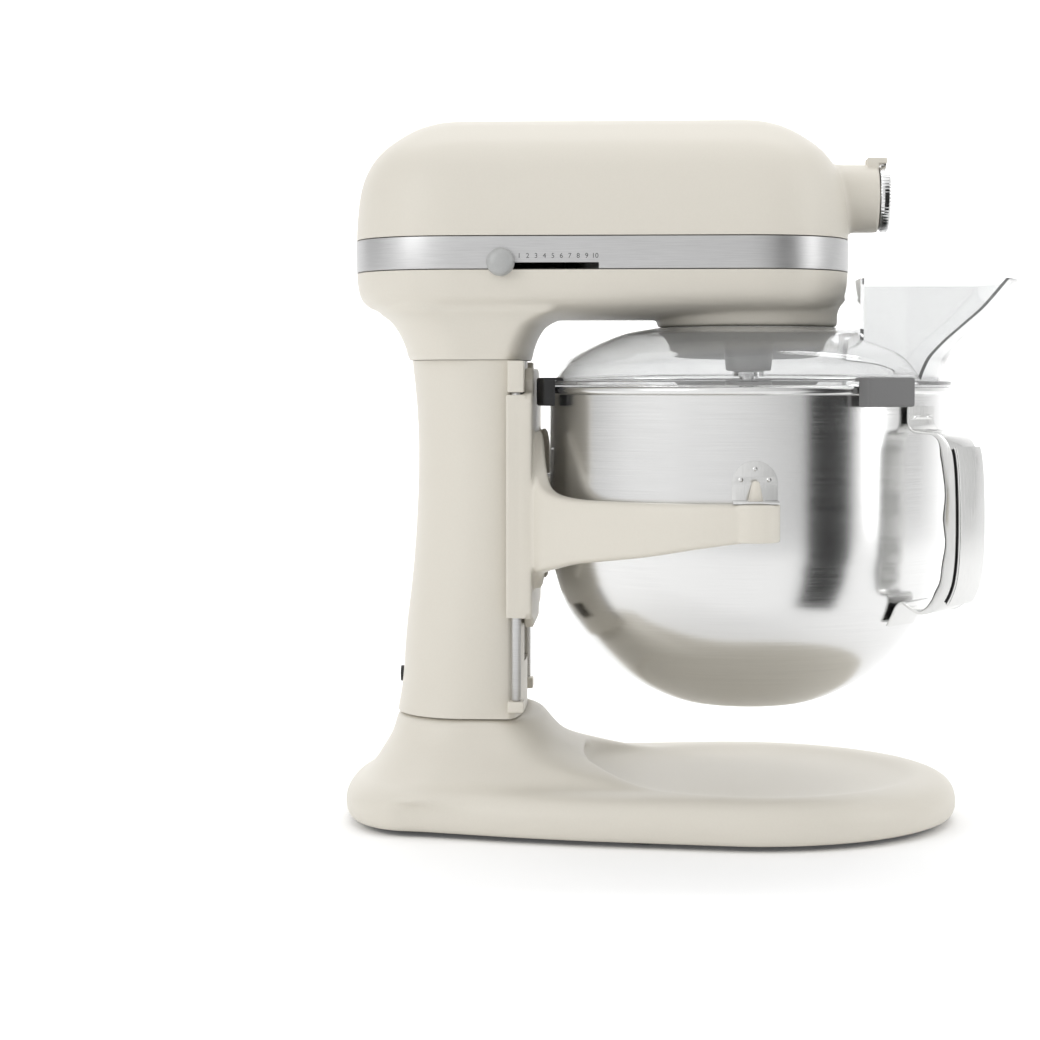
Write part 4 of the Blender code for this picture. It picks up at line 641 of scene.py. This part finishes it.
def build_handle():
    thin = STRAP_THIN
    strap = smooth_line([
        (0.1206, 0.2490, thin), (0.1206, 0.2400, thin), (0.1220, 0.2365, thin),
        (0.1255, 0.2345, thin), (0.1360, 0.2338, thin), (0.1430, 0.2315, 0.0050),
        (0.1478, 0.2250, 0.0085), (0.1498, 0.2150, 0.0085), (0.1508, 0.2000, 0.0074),
        (0.1512, 0.1860, 0.0092), (0.1512, 0.1720, 0.0074), (0.1505, 0.1590, 0.0090),
        (0.1485, 0.1480, 0.0085), (0.1440, 0.1390, 0.0085), (0.1370, 0.1335, 0.0050),
        (0.1290, 0.1320, thin), (0.1225, 0.1345, thin), (0.1178, 0.1370, thin),
        (0.1140, 0.1345, thin), (0.1112, 0.1290, thin), (0.1080, 0.1230, thin)], STRAP_SPAN)
    strap = [(r, z, max(depth, thin)) for r, z, depth in strap]
    grip = strap[GRIP_FIRST * STRAP_SPAN:GRIP_LAST * STRAP_SPAN + 1]
    body = loft("strap_skin", handle_rings(strap, HANDLE_HALF, thin), STRAP)
    low, high = strap[-8], strap[4]
    across, out = handle_frame()
    marks = []
    for r, z, tilt in ((high[0] + thin, high[1], 0.0), (low[0] + 0.0003, low[1] + 0.0004, -0.45)):
        for shift in (-0.0070, 0.0070):
            at = Vector((AXIS_X, 0.0, z)) + out * r + across * shift
            marks.append(dimple(at.x, at.y, at.z, (out.x, out.y, tilt), 0.0011))
    join(body, *marks)
    show(body, "handle_strap")
    inlay = [(r, z, -0.0011) for r, z, depth in grip]
    show(loft("inlay_skin", handle_rings(inlay, 0.0125, 0.0020, 0.0002), BLACK), "handle_inlay")
    outer = [(r, z, -0.0023) for r, z, depth in grip]
    show(loft("cover_plate", handle_rings(outer, HANDLE_HALF, 0.0039, 0.0006), STRAP), "handle_cover")


CHUTE_HALF, CHUTE_BACK, CHUTE_TOP, CHUTE_TIP = 0.0620, 0.0625, 0.3225, 0.1602


def chute_ring(z, reach, half, back, count=40):
    """The pouring chute's outline at a height: an arc about the bowl's axis and a flat back."""
    swing = asin(half / reach)
    ring = []
    for i in range(count + 1):
        a = swing * (2.0 * i / count - 1.0)
        ring.append((AXIS_X + reach * cos(a), reach * sin(a), z))
    return ring + [(AXIS_X + back, half * share, z) for share in (1.0, 0.5, 0.0, -0.5, -1.0)]


def build_lid():
    centre = (AXIS_X, 0.0, 0.0)
    inner = smooth_line([(0.0600, 0.2925), (0.0755, 0.2893), (0.0940, 0.2822), (0.1042, 0.2763),
                         (0.1100, 0.2692), (0.1140, 0.2606)], 6)
    outer = smooth_line([(0.0600, 0.2947), (0.0760, 0.2916), (0.0950, 0.2844), (0.1061, 0.2779),
                         (0.1124, 0.2697), (0.1156, 0.2638)], 6)
    lip = [(0.0594, 0.2932), (0.0594, 0.2941)]
    flange = [(0.1216, 0.2634), (0.1222, 0.2628), (0.1222, 0.2612), (0.1216, 0.2606)]
    lid = revolve("lid_skin", outer + flange + inner[::-1] + lip, centre, CLEAR, steps=160, closed=True)
    line = smooth_line([(0.2608, 0.1151), (0.2650, 0.1158), (0.2708, 0.1176), (0.2775, 0.1206),
                        (0.2866, 0.1279), (0.2957, 0.1370), (0.3066, 0.1479),
                        (CHUTE_TOP, CHUTE_TIP)], 4)
    chute = loft("chute", [chute_ring(z, r, CHUTE_HALF, CHUTE_BACK) for z, r in line])
    below = [(0.0, 0.2925)] + inner + [(0.1140, 0.2500), (0.0, 0.2500)]
    cut(chute, revolve("under", below, centre, steps=160))
    join(lid, chute)
    line[0] = (0.2560, 0.1148)
    line[-1] = (CHUTE_TOP + 0.004, CHUTE_TIP + 0.0036)
    wall = 0.0022
    room = loft("chute_room", [chute_ring(z, r - 0.0028, CHUTE_HALF - wall, CHUTE_BACK + wall)
                               for z, r in line])
    cut(lid, room, angle=30.0)
    show(lid, "lid")


def build_clips():
    """Two rubber clips over the bowl's bead and the lid's flange."""
    for name, paint, turn, half in (("lid_clip_front", CLIP, radians(-53.5), 0.0175),
                                    ("lid_clip_rear", RUBBER, radians(198.0), 0.0080)):
        clip = bevel(block(name + "_skin", (0.1168, -half, 0.2488), (0.1296, half, 0.2654), paint),
                     0.0016, 4)
        clip.data.transform(Matrix.Translation((AXIS_X, 0.0, 0.0)) @ Matrix.Rotation(turn, 4, "Z"))
        gap = revolve("gap", [(0.0, 0.2637), (0.1226, 0.2637), (0.1226, 0.2400), (0.0, 0.2400)],
                      (AXIS_X, 0.0, 0.0), steps=160)
        dome = revolve("dome", [(0.0, 0.2800), (0.1165, 0.2800), (0.1165, 0.2500), (0.0, 0.2500)],
                       (AXIS_X, 0.0, 0.0), steps=160)
        cut(clip, gap, dome)
        show(clip, name)


ARM_ROWS = (  # x, y, half thickness, low and high edge
    (-0.0845, 0.0380, 0.0050, 0.1400, 0.2350), (-0.0828, 0.0520, 0.0052, 0.1490, 0.2190),
    (-0.0795, 0.0620, 0.0058, 0.1520, 0.2050), (-0.0725, 0.0710, 0.0064, 0.1545, 0.1985),
    (-0.0590, 0.0830, 0.0068, 0.1585, 0.1958), (-0.0400, 0.0990, 0.0068, 0.1615, 0.1954),
    (-0.0180, 0.1150, 0.0070, 0.1650, 0.1954), (0.0080, 0.1270, 0.0075, 0.1700, 0.1954),
    (0.0300, 0.1310, 0.0085, 0.1735, 0.1954), (AXIS_X + 0.002, 0.1310, 0.0100, 0.1749, 0.1954),
)


def arm_rings(side):
    """Rounded upright sections along one arm."""
    rows = smooth_line(ARM_ROWS, 4)
    rings = []
    for i, (x, y, half, low, high) in enumerate(rows):
        before, after = rows[max(i - 1, 0)], rows[min(i + 1, len(rows) - 1)]
        along = Vector((after[0] - before[0], after[1] - before[1])).normalized()
        nx, ny = -along.y * half, along.x * half
        middle, reach = (low + high) / 2.0, (high - low) / 2.0
        ring = []
        for k in range(28):
            a = 2.0 * pi * k / 28.0
            across = abs(cos(a)) ** 0.4 * (1 if cos(a) > 0 else -1)
            up = abs(sin(a)) ** 0.4 * (1 if sin(a) > 0 else -1)
            ring.append((x + nx * across, side * (y + ny * across), middle + reach * up))
        rings.append(ring)
    return rings


def build_carriage():
    edge = ROD_Y + 0.0041
    half = [(0.0340, 0.1170), (0.0400, 0.1220), (0.0404, 0.1232), (edge - 0.003, 0.1244),
            (edge, 0.1284), (edge, 0.2521), (edge - 0.003, 0.2561), (0.0404, 0.2573),
            (0.0400, 0.2640), (0.0340, 0.2710)]
    outline = half + [(-y, z) for y, z in half[::-1]]
    side_on = Matrix(((0, 0, 1, 0), (1, 0, 0, 0), (0, 1, 0, 0), (0, 0, 0, 1)))
    body = prism("carriage_skin", [outline], -0.0918, -0.0862, PAINT, side_on)
    parts = [block("stem", (-0.1000, -0.016, 0.150), (-0.0908, 0.016, 0.200))]
    for side in (-1, 1):
        low, high = sorted((side * 0.0558, side * (edge - 0.0002)))
        boss_y = side * 0.1300
        parts.append(block("sleeve", (ROD_X - 0.0060, low, 0.1250), (-0.0898, high, 0.2555)))
        parts.append(loft("arm", arm_rings(side)))
        parts.append(rod("arm_boss", (AXIS_X, boss_y, 0.1744), (AXIS_X, boss_y, ARM_TOP), 0.0135,
                         steps=96))
    join(body, *parts)
    melt(body, 0.0010, 4)
    room = rod("room", (AXIS_X, 0.0, 0.100), (AXIS_X, 0.0, 0.300), BOWL_R + 0.0022, steps=192)
    above = block("boss_top", (AXIS_X - 0.030, -0.16, ARM_TOP), (AXIS_X + 0.030, 0.16, 0.2200))
    cut(body, room, above)
    for side in (-1, 1):
        y = side * ROD_Y
        cut(body, rod("sleeve_bore", (ROD_X, y, 0.110), (ROD_X, y, 0.270), 0.0033))
        cone = [(0.0, 0.1930), (0.0045, 0.1930), (0.0045, 0.1960), (0.0040, 0.1985),
                (0.0022, 0.2070), (0.0016, 0.2080), (0.0, 0.2084)]
        join(body, revolve("pin", cone, (AXIS_X, side * PIN_Y, 0.0), steps=40))
    show(body, "bowl_lift_carriage")


COLLAR_LOW, COLLAR_TOP, SHAFT_LOW, CROSS_PIN_Z = 0.2650, 0.2671, 0.2140, 0.2240


def build_beater():
    """The turning dish, the beater shaft with its collar, and the flat beater."""
    at = (AXIS_X, BEATER_Y, 0.0)
    dish = revolve("dish_skin", [
        (0.0064, 0.2954), (0.0530, 0.2954), (0.0535, 0.2949), (0.0534, 0.2935), (0.0524, 0.2920),
        (0.0500, 0.2894), (0.0478, 0.2873), (0.0462, 0.2863), (0.0445, 0.2860), (0.0064, 0.2860)],
        (AXIS_X, 0.0, 0.0), GREY, steps=144, closed=True)
    boss = revolve("boss", [
        (0.0, 0.2674), (0.0122, 0.2674), (0.0131, 0.2680), (0.0134, 0.2690), (0.0139, 0.2800),
        (0.0143, 0.2840), (0.0152, 0.2858), (0.0170, 0.2868), (0.0170, 0.2900), (0.0, 0.2900)],
        at, steps=72)
    join(dish, boss)
    cut(dish, rod("bore", (AXIS_X, BEATER_Y, 0.250), (AXIS_X, BEATER_Y, 0.310), 0.0064))
    show(dish, "planetary_dish")
    shaft = revolve("shaft_skin", [
        (0.0, SHAFT_LOW), (0.0050, SHAFT_LOW), (0.0060, SHAFT_LOW + 0.001), (0.0060, 0.3072),
        (0.0054, 0.3078), (0.0, 0.3078)], at, CHROME, steps=64)
    cut(shaft, rod("pin_bore", (AXIS_X - 0.02, BEATER_Y, CROSS_PIN_Z),
                   (AXIS_X + 0.02, BEATER_Y, CROSS_PIN_Z), 0.0019))
    show(shaft, "beater_shaft")
    low, high = COLLAR_LOW, COLLAR_TOP
    collar = [(0.0064, high), (0.0090, high), (0.0095, high - 0.0005), (0.0095, high - 0.0020),
              (0.0091, high - 0.0024), (0.0095, high - 0.0028), (0.0095, low + 0.0005),
              (0.0090, low), (0.0064, low)]
    show(revolve("collar_skin", collar, at, CHROME, steps=72, closed=True), "beater_collar")
    build_paddle(BEATER_Y)


def build_paddle(y):
    side = smooth_line([
        (0.0120, 0.1900), (0.0450, 0.1860), (0.0660, 0.1760), (0.0760, 0.1620), (0.0780, 0.1450),
        (0.0720, 0.1265), (0.0600, 0.1090), (0.0450, 0.0943), (0.0300, 0.0845), (0.0150, 0.0795),
        (0.0, 0.0780)], 4)
    outer = side + [(-x, z) for x, z in side[:-1][::-1]]
    upper = smooth_line([(0.0430, 0.1780), (0.0600, 0.1690), (0.0680, 0.1580), (0.0700, 0.1470)], 4)
    upper = [(0.0080, 0.1815)] + upper + [(0.0080, 0.1290)]
    lower = smooth_line([(0.0690, 0.1390), (0.0645, 0.1275), (0.0540, 0.1125), (0.0405, 0.0993),
                         (0.0270, 0.0911)], 4)
    lower = [(0.0080, 0.1215)] + lower + [(0.0080, 0.0862)]
    outlines = [outer, upper, lower] + [[(-x, z) for x, z in hole[::-1]] for hole in (upper, lower)]
    place = Matrix.Translation((AXIS_X, y, 0.0)) @ UPRIGHT
    paddle = prism("paddle", outlines, -0.0035, 0.0035, GREY, place)
    join(paddle, rod("hub", (AXIS_X, y, 0.1780), (AXIS_X, y, 0.2360), 0.0120, end_radius=0.0125,
                     steps=64))
    melt(paddle, 0.0009, 3)
    socket = rod("socket", (AXIS_X, y, 0.2100), (AXIS_X, y, 0.2500), 0.0065)
    notch = block("notch", (AXIS_X - 0.0150, y - 0.0020, 0.2218), (AXIS_X + 0.0150, y + 0.0020, 0.2400))
    cut(paddle, socket, notch)
    show(paddle, "flat_beater")


def ribbed_rings(profile, ribs, steps, place):
    """Rings from (radius, rib depth, height) rows; place turns a radius, angle and height into a
    point."""
    rings = []
    for radius, depth, height in profile:
        ring = []
        for i in range(steps):
            a = 2.0 * pi * i / steps
            ring.append(place(radius - depth * (0.5 - 0.5 * cos(ribs * a)), a, height))
        rings.append(ring)
    return rings


def build_hub():
    thick = 0.0061
    cap = loft("hub_cap_skin", ribbed_rings((
        (0.0196, 0.0, 0.0), (0.0199, 0.0002, 0.0004), (0.0200, 0.00025, 0.0012),
        (0.0200, 0.00025, 0.0046), (0.0197, 0.0001, 0.0052), (0.0192, 0.0, 0.0056),
        (0.0180, 0.0, thick), (0.0150, 0.0, thick), (0.0142, 0.0, thick - 0.0005),
        (0.0060, 0.0, thick - 0.0006)), 60, 240,
        lambda r, a, height: (0.1188 + height, r * cos(a), HUB_Z + r * sin(a))), CHROME)
    tab = block("tab", (0.1198, -0.0038, HUB_Z + 0.0150), (0.1232, 0.0038, HUB_Z + 0.0238))
    join(cap, bevel(tab, 0.0006, 3), angle=30.0)
    show(cap, "hub_cover")
    knob = loft("hub_knob_skin", ribbed_rings((
        (0.0030, 0.0, 0.0152), (0.0030, 0.0, 0.0222), (0.0066, 0.0, 0.0222),
        (0.0076, 0.0004, 0.0230), (0.0080, 0.0009, 0.0240), (0.0080, 0.0009, 0.0312),
        (0.0076, 0.0004, 0.0324), (0.0066, 0.0, 0.0330), (0.0030, 0.0, 0.0332)), 12, 144,
        lambda r, a, height: (HUB_SCREW_X + r * cos(a), height, HUB_Z + r * sin(a))), BLACK)
    show(knob, "hub_knob")


KNOB_X, KNOB_Z, KNOB_STEM_Z = -0.1036, 0.3317, 0.3297


def build_speed_knob():
    profile = smooth_line([(0.0, 0.0088), (0.0026, 0.0086), (0.0050, 0.0079), (0.0069, 0.0066),
                           (0.0079, 0.0048), (0.0082, 0.0030), (0.0081, 0.0010)], 5)
    knob = revolve("knob_skin", profile + [(0.0076, 0.0), (0.0, 0.0)],
                   (KNOB_X, HEAD_SIDE - 0.0004, KNOB_Z), KNOB, turn=Matrix.Rotation(pi / 2.0, 4, "X"))
    join(knob, rod("stem", (KNOB_X, -0.0730, KNOB_STEM_Z), (KNOB_X, -0.0661, KNOB_STEM_Z), 0.0013))
    show(knob, "speed_knob")


def build_rods():
    for side, name in ((-1, "guide_rod_left"), (1, "guide_rod_right")):
        bar = revolve(name + "_skin", [
            (0.0, ROD_LOW), (0.0023, ROD_LOW), (0.0028, ROD_LOW + 0.0006), (0.0028, ROD_TOP - 0.0006),
            (0.0023, ROD_TOP), (0.0, ROD_TOP)], (ROD_X, side * ROD_Y, 0.0), TRIM, steps=48)
        show(bar, name)


def build_latch():
    run = smooth_line([
        (-0.0848, -0.0056, 0.198), (-0.0828, -0.0056, 0.212), (-0.0840, -0.0052, 0.2205),
        (-0.0844, -0.0030, 0.2222), (-0.0844, 0.0030, 0.2222), (-0.0840, 0.0052, 0.2205),
        (-0.0828, 0.0056, 0.212), (-0.0848, 0.0056, 0.198)], 6)
    show(wire("latch_skin", run, 0.0009, CHROME), "latch_wire")


def build_lever():
    x, z, bar_y = LEVER_X, LEVER_Z, 0.0730
    bend = smooth_line([
        (x, 0.0670, z - 0.004), (x, 0.0672, z + 0.010), (x, 0.0700, z + 0.021),
        (x, 0.0728, z + 0.032), (x, bar_y, z + 0.044), (x, bar_y, z + 0.078)], 6)
    lever = wire("lever_skin", bend, 0.0038, CHROME)
    join(lever, bevel(rod("lever_hub", (x, 0.0605, z), (x, 0.0715, z), 0.0080), 0.0008))
    cut(lever, rod("lever_socket", (x, 0.0550, z), (x, 0.0645, z), 0.0053))
    show(lever, "lift_lever")
    grip = smooth_line([
        (0.0060, 0.0), (0.0064, 0.0015), (0.0078, 0.0110), (0.0090, 0.0200), (0.0087, 0.0275),
        (0.0068, 0.0322), (0.0035, 0.0337), (0.0, 0.0340)], 5)
    show(revolve("grip_skin", [(0.0, 0.0)] + grip, (x, bar_y, z + 0.0785), BLACK, steps=64),
         "lever_grip")


def build_feet():
    r = 0.0100
    profile = [(0.0, 0.0023), (r - 0.0006, 0.0023), (r, 0.0016), (r - 0.0008, 0.0), (r - 0.0025, 0.0),
               (r - 0.0030, 0.0006), (r - 0.0040, 0.0006), (r - 0.0045, 0.0), (0.0, 0.0)]
    spots = ((-0.165, -0.055), (-0.165, 0.055), (-0.020, -0.092), (-0.020, 0.092), (0.145, 0.0))
    for number, (x, y) in enumerate(spots, 1):
        foot = revolve("foot_skin_%d" % number, profile, (x, y, 0.0), RUBBER, steps=64)
        show(foot, "foot_%d" % number)


# ---- room -------------------------------------------------------------------
WORLD_POWER = 1.04
WORLD_STOPS = (  # heading from the front, in degrees toward +X, and brightness
    (-180.0, 0.42), (-135.0, 0.48), (-100.0, 0.65), (-72.0, 0.98), (-20.0, 0.98), (6.0, 0.82),
    (22.0, 0.66), (31.0, 0.60), (50.0, 0.60), (62.0, 0.70), (80.0, 0.85), (115.0, 0.75),
    (150.0, 0.42), (180.0, 0.30),
)
SWEEP_HALF, SWEEP_FRONT, SWEEP_REAR, SWEEP_BEND, SWEEP_TOP = 4.0, -6.0, 1.6, 0.9, 3.6
MIDDLE = (-0.02, 0.0, 0.20)
LAMPS = (  # name, place, target, size, watts
    ("key_left", (-1.5, -1.4, 1.1), MIDDLE, (0.8, 1.3), 7.0),
    ("top_soft", (0.1, -0.3, 1.9), MIDDLE, (1.6, 1.2), 3.0),
    ("fill_right", (1.6, -0.5, 0.7), MIDDLE, (0.4, 1.3), 4.0),
    ("wall_wash", (0.0, 0.9, 2.4), (0.0, 2.4, 0.6), (3.0, 0.6), 40.0),
)
CARD_HALF_WIDTH, CARD_HALF_THICK, CARD_HEIGHT = 0.049, 0.002, 0.5
CARD_AT, CARD_TURN = (0.1897, -0.2130, 0.0), radians(35.0)
CAMERA_AT, CAMERA_YAW, CAMERA_PITCH, CAMERA_LENS = (-0.0203, -1.45, 0.2617), 3.0, 3.26, 82.7


def stage_floor():
    """A pale sweep: level floor, then a curve up to a wall behind."""
    bm = bmesh.new()
    path = [(SWEEP_FRONT, 0.0), (SWEEP_REAR, 0.0)]
    for i in range(1, 17):
        a = i * pi / 32.0
        path.append((SWEEP_REAR + SWEEP_BEND * sin(a), SWEEP_BEND - SWEEP_BEND * cos(a)))
    path.append((SWEEP_REAR + SWEEP_BEND, SWEEP_TOP))
    rows = [[bm.verts.new((x, y, z - 0.0001)) for x in (-SWEEP_HALF, SWEEP_HALF)] for y, z in path]
    for a, b in zip(rows, rows[1:]):
        bm.faces.new((a[0], a[1], b[1], b[0]))
    paper = material("paper_sweep", (0.95, 0.95, 0.95), 0.85, 0.0, (3, 3, 3), 0.0, 0.004, 0.02)
    glow = paper.node_tree.nodes["Principled BSDF"].inputs
    glow["Emission Color"].default_value = (1.0, 1.0, 1.0, 1.0)
    glow["Emission Strength"].default_value = 0.05
    add("studio_sweep", bm, paper, 80.0)


def area_light(name, at, target, size, power):
    data = bpy.data.lights.new(name, "AREA")
    data.shape = "RECTANGLE"
    data.size, data.size_y = size
    data.energy = power
    ob = bpy.data.objects.new(name, data)
    ob.location = at
    ob.rotation_euler = (Vector(target) - Vector(at)).to_track_quat("-Z", "Y").to_euler()
    bpy.context.scene.collection.objects.link(ob)


def build_world():
    """Pale surroundings, brightest at the front left and darkest behind, by heading."""
    world = bpy.data.worlds.new("studio")
    world.use_nodes = True
    t = world.node_tree
    where = t.nodes.new("ShaderNodeTexCoord")
    axes = t.nodes.new("ShaderNodeSeparateXYZ")
    t.links.new(where.outputs["Generated"], axes.inputs["Vector"])
    back = t.nodes.new("ShaderNodeMath")
    back.operation = "MULTIPLY"
    back.inputs[1].default_value = -1.0
    t.links.new(axes.outputs["Y"], back.inputs[0])
    turn = t.nodes.new("ShaderNodeMath")
    turn.operation = "ARCTAN2"
    t.links.new(axes.outputs["X"], turn.inputs[0])
    t.links.new(back.outputs[0], turn.inputs[1])
    share = t.nodes.new("ShaderNodeMapRange")
    share.inputs["From Min"].default_value = -pi
    share.inputs["From Max"].default_value = pi
    t.links.new(turn.outputs[0], share.inputs["Value"])
    ramp = t.nodes.new("ShaderNodeValToRGB")
    stops = ramp.color_ramp.elements
    while len(stops) > 1:
        stops.remove(stops[-1])
    for i, (angle, value) in enumerate(WORLD_STOPS):
        place = (angle + 180.0) / 360.0
        stop = stops.new(place) if i else stops[0]
        stop.position = place
        stop.color = (value, value, value, 1.0)
    t.links.new(share.outputs["Result"], ramp.inputs["Fac"])
    sky = t.nodes["Background"]
    t.links.new(ramp.outputs["Color"], sky.inputs["Color"])
    sky.inputs["Strength"].default_value = WORLD_POWER
    return world


def build_card():
    """A dark card beside the bowl that shows only in reflections, as a dark stripe on the steel."""
    card = block("flag_card", (-CARD_HALF_WIDTH, -CARD_HALF_THICK, 0.0),
                 (CARD_HALF_WIDTH, CARD_HALF_THICK, CARD_HEIGHT), FLAG)
    card.location, card.rotation_euler = CARD_AT, (0.0, 0.0, CARD_TURN)
    for sight in ("camera", "diffuse", "transmission", "shadow", "volume_scatter"):
        setattr(card, "visible_" + sight, False)


def build_camera():
    data = bpy.data.cameras.new("camera")
    data.sensor_width = 36.0
    data.lens = CAMERA_LENS
    camera = bpy.data.objects.new("camera", data)
    camera.location = CAMERA_AT
    yaw, pitch = radians(CAMERA_YAW), radians(CAMERA_PITCH)
    look = Vector((-sin(yaw) * cos(pitch), cos(yaw) * cos(pitch), -sin(pitch)))
    camera.rotation_euler = look.to_track_quat("-Z", "Y").to_euler()
    bpy.context.scene.collection.objects.link(camera)
    bpy.context.scene.camera = camera


def build_room():
    stage_floor()
    bpy.context.scene.world = build_world()
    bpy.context.scene.view_settings.view_transform = "Standard"
    for lamp in LAMPS:
        area_light(*lamp)
    build_card()
    build_camera()


build_base()
build_column()
build_head()
build_band()
build_cover()
build_bowl()
build_brackets()
build_handle()
build_lid()
build_clips()
build_carriage()
build_beater()
build_hub()
build_speed_knob()
build_rods()
build_latch()
build_lever()
build_feet()

build_room()
